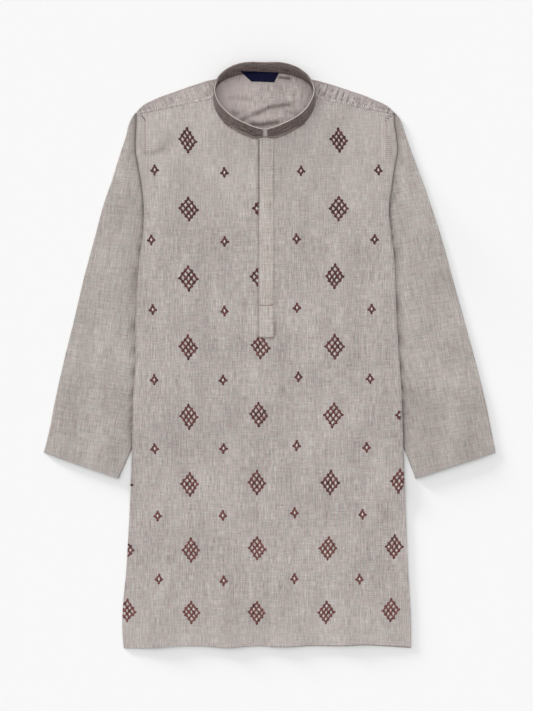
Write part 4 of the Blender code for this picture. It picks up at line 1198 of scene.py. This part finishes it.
# Large lattice motifs: centre, half width, half height, and how far the sides and the tips lean.
largeMotif = table("x down halfWide halfHigh sideLean tipLean", [
    (187.7, 140.3, 9.4, 12.3, 1.9, 0.8), (188.7, 209.2, 10.2, 11.7, 1.4, 0.2),
    (188.5, 278.3, 10.3, 12.1, 0.7, 0.4), (188.4, 347.3, 9.8, 12.1, 1, 0.5),
    (188.8, 416.5, 9.7, 12.1, 0.8, 0.2), (189.6, 484.1, 9.5, 11.8, 0.6, 0.1),
    (191.1, 550, 9.3, 11.7, 0.5, 0.2), (191.3, 612.2, 9, 10.9, 0.8, 0.3),
    (262.3, 209.2, 10.2, 11.8, 1.2, 0.2), (259.8, 277.5, 10.1, 11.9, 1.2, 0.2),
    (260.5, 346.7, 10, 11.7, 1.4, 0), (258.6, 414.6, 9.9, 11.9, 1.2, 0),
    (256.7, 482.6, 9.5, 11.8, 0.7, -0.1), (257, 548.3, 9.3, 11.5, 1.2, 0.1),
    (256.5, 612.5, 9.2, 11.2, 0.9, 0), (338.9, 140.2, 9.2, 11.6, 0.7, 0.6),
    (338.7, 208.4, 10.2, 12.1, 0.1, -0.3), (334.7, 276.5, 9.6, 12.1, -0.1, -0.5),
    (334.8, 346.5, 10.2, 11.9, 0.2, -0.3), (333.3, 415.1, 9.9, 11.8, -0.3, -0.7),
    (330.4, 482.7, 9.6, 11.9, 0.1, -0.6), (328, 548.3, 9.5, 11.6, -0.3, -0.6),
    (326.1, 612.3, 9, 10.9, -0.4, -0.3), (404.4, 415, 9.6, 10, 0, -0.5), (399.4, 481, 9.5, 12, 0, -1),
    (394, 546.6, 9.4, 11.9, -0.1, -0.7), (390.8, 610.2, 9.3, 11.5, -0.6, -0.1),
    (123.6, 483.4, 9.6, 11.8, 1.5, 0), (125.2, 549.3, 9.4, 11.6, 1.5, 0),
    (127, 610.5, 9.3, 10.9, 1.5, -0.3),
])
# Small single-cell motifs between them.
smallMotif = table("x down", [
    (154.6, 169.8), (224.4, 172.5), (301, 170.9), (378.4, 170), (151.3, 239.8), (224.5, 241.5),
    (296.6, 238.8), (374.5, 239.3), (152.8, 309.6), (224.5, 310.9), (296.9, 307.7), (371.6, 309),
    (154.3, 379.7), (222.9, 379.9), (298.4, 376.8), (370, 378.6), (154.7, 448.6), (223.5, 448.4),
    (296.6, 445.4), (366.6, 447.4), (157.6, 515.7), (222.8, 515.4), (294.6, 512.8), (362.4, 514.3),
    (158.9, 579), (223.7, 580.6), (294.4, 578.5), (359.5, 579),
])
# Chart of the motifs: millimetres a square and its origin, then the lattice's cells, the stitches along
# a side of a cell, and how much smaller than its outline each motif is drawn.
chart = {"pixel": 1.33, "middleX": 269.6, "top": 61.6, "bottom": 648.0, "cells": 3, "stitches": 4,
         "wide": 0.82, "high": 0.9, "smallWide": 3.5, "smallHigh": 4.5}
# Threads of a lattice: widths and heights of stitches and knots, how far knots are pushed out, and the
# spread of points, turns, widths and tones. Tones run from "tone" at the neck, up by "fade" at the hem.
lattice = {"jitter": 0.34, "tone": 0.12, "fade": 0.5, "toneSpread": 0.05, "overlap": 1.5, "slant": 0.28,
           "slantSpread": 0.1, "thin": 0.12, "wide": 3.1, "wideFrom": (0.85, 1.1), "high": 0.75,
           "stitchSpread": 0.26, "knot": 4.5, "inner": 1.14, "knotFrom": (0.86, 1.08),
           "knotShape": (1.15, 0.9, 1.3), "tipOut": (0.3, 0.6), "rimOut": 0.75, "knotDarker": 0.16,
           "knotSpread": 0.14, "pad": (2.9, 1.9, 0.35), "padTone": (0.4, 1.0), "dot": (0.9, 0.9, 0.5),
           "dotShare": 0.6, "dotTone": 0.35}
# The same for a small motif: "ring" is its half width and height as shares of the whole.
diamond = {"tone": 0.1, "stitches": 12, "ring": (0.56, 0.62), "jitter": 0.15, "overlap": 1.9,
           "wide": 2.9, "high": 0.75, "stitchSpread": 0.2, "sideLow": 0.8, "tipOut": 0.93,
           "tipJitter": 0.2, "knotDarker": 0.1, "knotSpread": 0.06, "pad": (3.4, 2.0, 0.35),
           "padTone": 0.9,
           "knots": ((3.9, 3.7, 0.95), (3.2, 3.6, 0.95), (3.7, 3.5, 0.95), (3.2, 3.6, 0.95))}
# Room left inside the body's sides and round the placket, and a notch in the right side.
frontMargin = {"side": 0.9, "placket": 0.5, "beside": 0.6, "notch": 2.6, "notchDown": 468.0,
               "notchReach": 22.0}


def chartPoint(x, down):
    # the chart's own squares to millimetres on the cloth
    return np.array([(x - chart["middleX"]) * chart["pixel"], (down - chart["top"]) * chart["pixel"]])


def onFront(points):
    # inside the body's sides, the right one notched a little, and clear of the placket
    look = frontMargin
    left = along(bodyEdge, "down", "left", points[:, 1]) + look["side"]
    right = along(bodyEdge, "down", "right", points[:, 1]) - look["side"]
    right = right - look["notch"] * bell(points[:, 1] - look["notchDown"], look["notchReach"])
    underPlacket = ((points[:, 0] > placketStrip["left"] + look["placket"])
                    & (points[:, 0] < placketStrip["right"] + look["beside"])
                    & (points[:, 1] < placketStrip["end"] + look["placket"]))
    return (points[:, 0] > left) & (points[:, 0] < right) & ~underPlacket


def lengthOf(rows):
    # length of each row of a table of plan vectors
    return np.linalg.norm(rows, axis=1)


def turnOf(rows):
    # angle of each plan vector
    return np.arctan2(rows[:, 1], rows[:, 0])


def largeLattice(row, threads, pads, dots):
    # a diamond of cells: point (a, b) is the top tip plus a steps down the right side and b down the
    # left; slanted stitches run along every side of every cell, and a knot covers each point
    cells, stitches, look = chart["cells"], chart["stitches"], lattice
    centre = chartPoint(row["x"], row["down"])
    sideways = np.array([row["halfWide"], row["sideLean"]]) * chart["pixel"] * chart["wide"]
    upright = np.array([row["tipLean"], row["halfHigh"]]) * chart["pixel"] * chart["high"]
    towardRight, towardLeft = (upright + sideways) / cells, (upright - sideways) / cells
    a, b = np.meshgrid(np.arange(cells + 1), np.arange(cells + 1), indexing="ij")
    nodes = centre - upright + a[..., None] * towardRight + b[..., None] * towardLeft
    nodes = nodes + rng.normal(0.0, look["jitter"], nodes.shape)
    fade = (row["down"] - chart["top"]) / (chart["bottom"] - chart["top"])
    tone = look["tone"] + look["fade"] * fade + rng.normal(0.0, look["toneSpread"])
    starts = np.concatenate([nodes[:-1].reshape(-1, 2), nodes[:, :-1].reshape(-1, 2)])
    ends = np.concatenate([nodes[1:].reshape(-1, 2), nodes[:, 1:].reshape(-1, 2)])
    at = ((np.arange(stitches) + 0.5) / stitches)[None, :, None]
    centres = (starts[:, None] + (ends - starts)[:, None] * at).reshape(-1, 2)
    step = np.repeat(ends - starts, stitches, axis=0)
    angles = turnOf(step) + look["slant"] + rng.normal(0.0, look["slantSpread"], len(step))
    thin = 1.0 - look["thin"] * fade
    sizes = np.column_stack([lengthOf(step) / stitches * look["overlap"],
                             look["wide"] * thin * rng.uniform(*look["wideFrom"], len(step)),
                             np.full(len(step), look["high"])])
    threads.append((centres, angles, sizes, tone + rng.normal(0.0, look["stitchSpread"], len(step))))

    knots = nodes.reshape(-1, 2)
    isTip = ((a % cells == 0) & (b % cells == 0)).ravel()
    isRim = ((a % cells == 0) | (b % cells == 0)).ravel()
    outward = knots - centre
    outward /= np.maximum(lengthOf(outward), 1e-6)[:, None]
    tipOut = look["tipOut"][0] + look["tipOut"][1] * np.abs(outward[:, 1])
    knots = knots + outward * np.where(isTip, tipOut, np.where(isRim, look["rimOut"], 0.0))[:, None]
    size = look["knot"] * np.where(isRim, 1.0, look["inner"])
    size = size * thin * rng.uniform(*look["knotFrom"], len(knots))
    longer, wider, higher = look["knotShape"]
    sizes = np.column_stack([size * np.where(isTip, longer, 1.0), size * wider,
                             np.full(len(size), look["high"] * higher)])
    threads.append((knots, turnOf(outward), sizes,
                    tone - look["knotDarker"] + rng.normal(0.0, look["knotSpread"], len(knots))))

    middles = ((nodes[:-1, :-1] + nodes[1:, 1:]) / 2).reshape(-1, 2)
    count = len(middles)
    pads.append((middles, np.full(count, math.atan2(upright[1], upright[0])),
                 np.tile(look["pad"], (count, 1)), rng.uniform(*look["padTone"], count)))
    marked = middles[rng.random(count) < look["dotShare"]]
    dots.append((marked, np.zeros(len(marked)), np.tile(look["dot"], (len(marked), 1)),
                 np.full(len(marked), look["dotTone"])))


def smallDiamond(row, threads, pads):
    # a ring of stitches round one tall cell, with a knot at each tip, the side ones a little low
    look, count = diamond, diamond["stitches"]
    centre = chartPoint(row["x"], row["down"])
    fade = (row["down"] - chart["top"]) / (chart["bottom"] - chart["top"])
    tone = look["tone"] + lattice["fade"] * fade + rng.normal(0.0, lattice["toneSpread"])
    wide, high = chart["smallWide"] * chart["pixel"], chart["smallHigh"] * chart["pixel"]
    turn = np.linspace(0.0, 2 * np.pi, count, endpoint=False)
    points = centre + np.column_stack([look["ring"][0] * wide * np.sin(turn),
                                       -look["ring"][1] * high * np.cos(turn)])
    points = points + rng.normal(0.0, look["jitter"], (count, 2))
    step = np.roll(points, -1, axis=0) - points
    sizes = np.column_stack([lengthOf(step) * look["overlap"], np.full(count, look["wide"]),
                             np.full(count, look["high"])])
    threads.append((points + step / 2, turnOf(step), sizes,
                    tone + rng.normal(0.0, look["stitchSpread"], count)))
    tips = np.array([(0.0, -high), (wide, look["sideLow"]), (0.0, high), (-wide, look["sideLow"])])
    knots = centre + tips * look["tipOut"] + rng.normal(0.0, look["tipJitter"], (4, 2))
    threads.append((knots, np.array([math.pi / 2, 0.0, math.pi / 2, 0.0]), np.array(look["knots"]),
                    tone - look["knotDarker"] + rng.normal(0.0, look["knotSpread"], 4)))
    pads.append((centre[None], np.array([math.pi / 2]), np.array([look["pad"]]),
                 np.array([look["padTone"]])))


def makeEmbroidery():
    # the beads of every motif, those that fall off the front or under the placket left out
    threads, pads, dots = [], [], []
    for row in rowsOf(largeMotif):
        largeLattice(row, threads, pads, dots)
    for row in rowsOf(smallMotif):
        smallDiamond(row, threads, pads)

    def keep(groups):
        # beads whose centre lies on the front, with tones between 0 and 1
        centres, angles, sizes, tones = (np.concatenate([g[k] for g in groups]) for k in range(4))
        inside = onFront(centres)
        return centres[inside], angles[inside], sizes[inside], np.clip(tones[inside], 0.0, 1.0)

    makeBeads("embroideryThread", *keep(threads), frontTop, maroonThread, "body_cloth")
    makeBeads("embroideryPads", *keep(pads), frontTop, paleThread, "body_cloth", sink=0.05)
    makeBeads("embroideryDots", *keep(dots), lambda p: frontTop(p) + 0.3, maroonThread, "body_cloth")


# Sizes of stitches: the pitch along their line, then each bead's length, width and height.
stitchSize = {"zigzag": (1.33, 1.7, 0.8, 0.4), "cordNear": (1.9, 2.4, 1.1, 0.35),
              "cordFar": (1.9, 2.4, 1.4, 0.35), "hatch": (2.66, 2.6, 0.75, 0.3),
              "cornerLeft": (2.2, 2.8, 1.5, 0.5), "cornerRight": (2.1, 1.9, 1.6, 0.6),
              "yokeEdge": (3.0, 4.8, 1.0, 0.4), "yokeBelow": (3.0, 3.6, 0.9, 0.35),
              "placketCross": (1.2, 1.7, 1.6, 0.4), "placketSide": (2.6, 1.7, 0.5, 0.25),
              "neck": (1.8, 2.2, 1.5, 0.4), "placketTop": (0.9, 1.5, 1.1, 0.5),
              "sleeveHem": (2.7, 1.8, 0.5, 0.25)}
# Armhole top-stitching: a zigzag down the middle, pale cords beside it and a hatch over the seam.
topStitch = {"left": {"x": -164.9, "downTo": 124.0, "middle": -0.7, "cords": (1.5, 5.4),
                      "hatch": (-2.2, -4.1, -6.0), "hatchFrom": 109.0, "hatchLean": (0.8, 0.8, 0.8)},
             "right": {"x": 155.6, "downTo": 131.0, "middle": 0.1, "cords": (-2.3, -5.4),
                       "hatch": (1.9, 3.6, 5.3, 7.0), "hatchFrom": 98.0,
                       "hatchLean": (-0.8, 0.8, -0.8, 0.8)}}
# The zigzag's start, its two rows' shift and slant, and its tones, which swing more in its lower part.
zigzag = {"from": 73.0, "shift": 0.45, "slant": 0.7, "tone": 0.6, "spread": 0.07, "swing": 0.1,
          "lowerSwing": 0.28, "lowerFrom": 96.0, "lowerRamp": 2.0}
# Bias marks at the yoke's outer corners, from end to end.
yokeMark = {"left": table("x down", [(-170.2, 71.3), (-165.2, 78.6)]),
            "right": table("x down", [(162.6, 69.6), (152.6, 78)])}
# Lines of stitches: distances from the yoke's edge, and where the placket's and the neck's lines run.
yokeStitch = {"inset": 3.0, "above": 1.7, "edge": 0.8, "below": 3.6, "lean": {"left": 2.2, "right": 0.95}}
placketStitch = {"crossDown": 323.4, "crossBow": 0.9, "sideIn": 1.6, "sideFrom": 112.0, "topDown": 0.9}
neckStitchOut = 1.9


def onPlacket(points):
    # top of the placket's cloth
    return frontTop(points) + seamGap + clothThickness


def stitchArmholes():
    # slanted stitches to and fro, light and dark by turns and more so lower down, between pale cords
    groups, tones, look = [], [], zigzag
    for seam in topStitch.values():
        line = pairs(seam["x"], np.linspace(look["from"], seam["downTo"], 40))
        for sign in (-1.0, 1.0):
            group = beadsAlong(line + (seam["middle"] + sign * look["shift"], 0.0), "zigzag",
                               -sign * look["slant"])
            groups.append(group)
            count = len(group[0])
            lower = 1.0 / (1.0 + np.exp(-(group[0][:, 1] - look["lowerFrom"]) / look["lowerRamp"]))
            swing = look["swing"] + look["lowerSwing"] * lower
            tone = look["tone"] + np.where(np.arange(count) % 2, -1.0, 1.0) * swing
            tones.append(np.clip(tone + rng.normal(0.0, look["spread"], count), 0.0, 1.0))
        for inward, size in zip(seam["cords"], ("cordNear", "cordFar")):
            groups.append(beadsAlong(line + (inward, 0.0), size))
            tones.append(rng.uniform(0.82, 1.0, len(groups[-1][0])))
        line = pairs(seam["x"], np.linspace(seam["hatchFrom"], seam["downTo"] - 3.0, 20))
        for shift, slant in zip(seam["hatch"], seam["hatchLean"]):
            groups.append(beadsAlong(line + (shift, 0.0), "hatch", slant))
            tones.append(rng.uniform(0.1, 0.7, len(groups[-1][0])))
    makeBeads("armholeStitches", *joinBeads(groups), np.concatenate(tones), frontTop, brownThread,
              "body_cloth")


def stitchYokeCorners():
    # short bias marks where the yoke meets the armhole, the right one a checker of two rows
    left, right = (pairs(yokeMark[side]["x"], yokeMark[side]["down"]) for side in bothSides)
    leftMark = beadsAlong(left, "cornerLeft")
    upper = beadsAlong(right - (0.7, 0.9), "cornerRight")
    lower = beadsAlong(right + (0.9, 1.1), "cornerRight")
    checker = np.arange(len(upper[0])) % 2
    tone = np.concatenate([np.zeros(len(leftMark[0])), 0.05 + 0.6 * checker, 0.65 - 0.6 * checker])
    makeBeads("yokeCornerStitches", *joinBeads([leftMark, upper, lower]), tone, frontTop, darkThread,
              "body_cloth")


def stitchYokeSeams():
    # pale slanted stitches along the yoke's turned front edge and on the front below it
    groups, look = [], yokeStitch
    for side in bothSides:
        angle = ringAngle(frontYokeAtNeck)
        neckEnd = ring(neckSeam, angle if side == "right" else 180.0 - angle)
        armEnd = bodySide(side, frontYokeAtArm)
        inset = (armEnd - neckEnd) / np.linalg.norm(armEnd - neckEnd) * look["inset"]
        line = np.linspace(neckEnd + inset, armEnd - 2 * inset, 60) - (0.0, look["above"])
        groups.append(beadsAlong(line - (0.0, look["edge"]), "yokeEdge", look["lean"][side]))
        groups.append(beadsAlong(line + (0.0, look["below"]), "yokeBelow", look["lean"][side]))
    beads = joinBeads(groups)
    makeBeads("yokeSeamStitches", *beads, rng.uniform(0.0, 1.0, len(beads[0])), frontTop, paleThread,
              "yoke_cloth")


def stitchPlacket():
    # a stitched line across above its end, bowed by a sine, and a line down its right side
    strip, look = placketStrip, placketStitch
    across = np.linspace(strip["left"] + 2.0, strip["right"] - 1.0, 12)
    bow = look["crossBow"] * np.sin(np.pi * (across - strip["left"]) / strip["wide"])
    crossed = beadsAlong(pairs(across, look["crossDown"] + bow), "placketCross")
    sideDowns = np.linspace(look["sideFrom"], strip["end"] - 3.0, 60)
    sideLine = beadsAlong(pairs(strip["right"] - look["sideIn"], sideDowns), "placketSide")
    tones = np.append(np.zeros(len(crossed[0])), rng.uniform(0.3, 0.9, len(sideLine[0])))
    makeBeads("placketStitches", *joinBeads([crossed, sideLine]), tones, onPlacket, brownThread,
              "placket_cloth")


def stitchNeck():
    # stitches below the band on both sides of the placket, and the placket's turned top edge
    strip = placketStrip
    wider = {key: neckSeam[key] + neckStitchOut for key in ("across", "front")}
    line = ring({**neckSeam, **wider}, np.linspace(32.0, 148.0, 160))
    outside = (line[:, 0] < strip["left"] - 1.0) | (line[:, 0] > strip["right"] + 1.0)
    beads = joinBeads([beadsAlong(line[onSide & outside], "neck")
                       for onSide in (line[:, 0] > 0, line[:, 0] < 0)])
    makeBeads("neckStitches", *beads, rng.uniform(0.0, 0.5, len(beads[0])), frontTop, brownThread,
              "body_cloth")
    x = np.linspace(strip["left"] + 0.4, strip["right"] - 0.4, 24)
    beads = beadsAlong(pairs(x, placketStart(x) + placketStitch["topDown"]), "placketTop")
    makeBeads("placketTopEdge", *beads, rng.uniform(0.75, 1.0, len(beads[0])), onPlacket, brownThread,
              "placket_cloth")


def stitchSleeveHems():
    # the deep turned hem of each sleeve is stitched straight across its upper layer
    down = sleeveGrid["hemFrom"]
    for side, sign in (("left", -1.0), ("right", 1.0)):
        outerX = float(along(sleeveOuter, "down", side, down))
        innerX = float(along(bodyEdge, "down", side, down))
        line = pairs(np.linspace(outerX - sign * 4.0, innerX + sign * 4.0, 40), down + 0.6)
        beads = beadsAlong(line, "sleeveHem")
        makeBeads(f"sleeveHemStitches.{side}", *beads, rng.uniform(0.2, 0.7, len(beads[0])),
                  lambda p, side=side: sleeveTop(p, side) + 0.15, seamThread, "sleeve_cloth")


makeBack()
makeFront()
print("front and back made")
makeYoke()
for side in bothSides:
    makeSleeve(side)
print("yoke and sleeves made")
makeCollar()
makePlacket()
makeStand()
makeLabel()
print("collar, placket and label made")
makeEmbroidery()
print("embroidery made")
stitchArmholes()
stitchYokeCorners()
stitchYokeSeams()
stitchPlacket()
stitchNeck()
stitchSleeveHems()
print("stitches made")


# Table and light: the floor's colour, half size and depth below the piece in metres, and the sky.
stageLook = {"floor": srgb(232, 232, 232), "halfSize": 12.0, "below": 0.0003, "world": 0.42}
# share: how much of the light on level cloth each lamp gives
lamps = table("azimuth elevation angle share",
              [(0, 84, 60, 0.32), (-42, 34, 70, 0.24), (-47, 7.5, 10, 0.185)])
# Size of the picture, the camera's lens and sensor, and a little more height.
view = {"pixelsWide": 533, "pixelsHigh": 711, "lens": 200.0, "sensor": 36.0, "over": 0.003}


def makeStage():
    # a plain level square just below the piece, under an even white sky
    size, low = stageLook["halfSize"], -stageLook["below"]
    mesh = bpy.data.meshes.new("tableTop")
    mesh.from_pydata([(-size, -size, low), (size, -size, low), (size, size, low), (-size, size, low)], [],
                     [(0, 1, 2, 3)])
    floor = bpy.data.objects.new("tableTop", mesh)
    bpy.context.scene.collection.objects.link(floor)
    material, shader = newMaterial("tablePaint")[::2]
    shader.inputs["Base Color"].default_value = stageLook["floor"]
    shader.inputs["Roughness"].default_value = 0.9
    shader.inputs["Specular IOR Level"].default_value = 0.1
    floor.data.materials.append(material)
    world = bpy.data.worlds.new("studio") if bpy.context.scene.world is None else bpy.context.scene.world
    bpy.context.scene.world = world
    world.use_nodes = True
    background = world.node_tree.nodes["Background"]
    background.inputs["Color"].default_value = (1.0, 1.0, 1.0, 1.0)
    background.inputs["Strength"].default_value = stageLook["world"]


def makeSun(name, azimuth, elevation, angle, share):
    # the light comes from azimuth, from +Y towards +X, and elevation above the table; its strength is
    # share * pi / sin(elevation)
    data = bpy.data.lights.new(name, "SUN")
    data.energy = share * math.pi / math.sin(math.radians(elevation))
    data.angle = math.radians(angle)
    sun = bpy.data.objects.new(name, data)
    bpy.context.scene.collection.objects.link(sun)
    sun.rotation_euler = (math.radians(elevation - 90.0), 0.0, math.radians(-azimuth))
    return sun


def makeCamera():
    # straight above the middle of the picture, far off with a long lens: height = tall * lens / sensor
    data = bpy.data.cameras.new("camera")
    data.lens, data.sensor_width = view["lens"], view["sensor"]
    tall = view["pixelsHigh"] * chart["pixel"] * mm
    middle = chartPoint(view["pixelsWide"] / 2, view["pixelsHigh"] / 2)
    camera = bpy.data.objects.new("camera", data)
    bpy.context.scene.collection.objects.link(camera)
    camera.location = (middle[0] * mm, (collarTopY - middle[1]) * mm,
                       tall * view["lens"] / view["sensor"] + view["over"])
    camera.rotation_euler = (0.0, 0.0, 0.0)
    bpy.context.scene.camera = camera


makeStage()
for name, row in zip(("skyLight", "keyLight", "tableLight"), rowsOf(lamps)):
    sun = makeSun(name, **row)
# the last and lowest lamp is flagged off the cloth and only draws its long soft shadow on the table
lit = bpy.data.collections.new("tableOnly")
lit.objects.link(bpy.data.objects["tableTop"])
sun.light_linking.receiver_collection = lit
makeCamera()
bpy.context.scene.view_settings.view_transform = "Standard"
print("table, light and camera set")
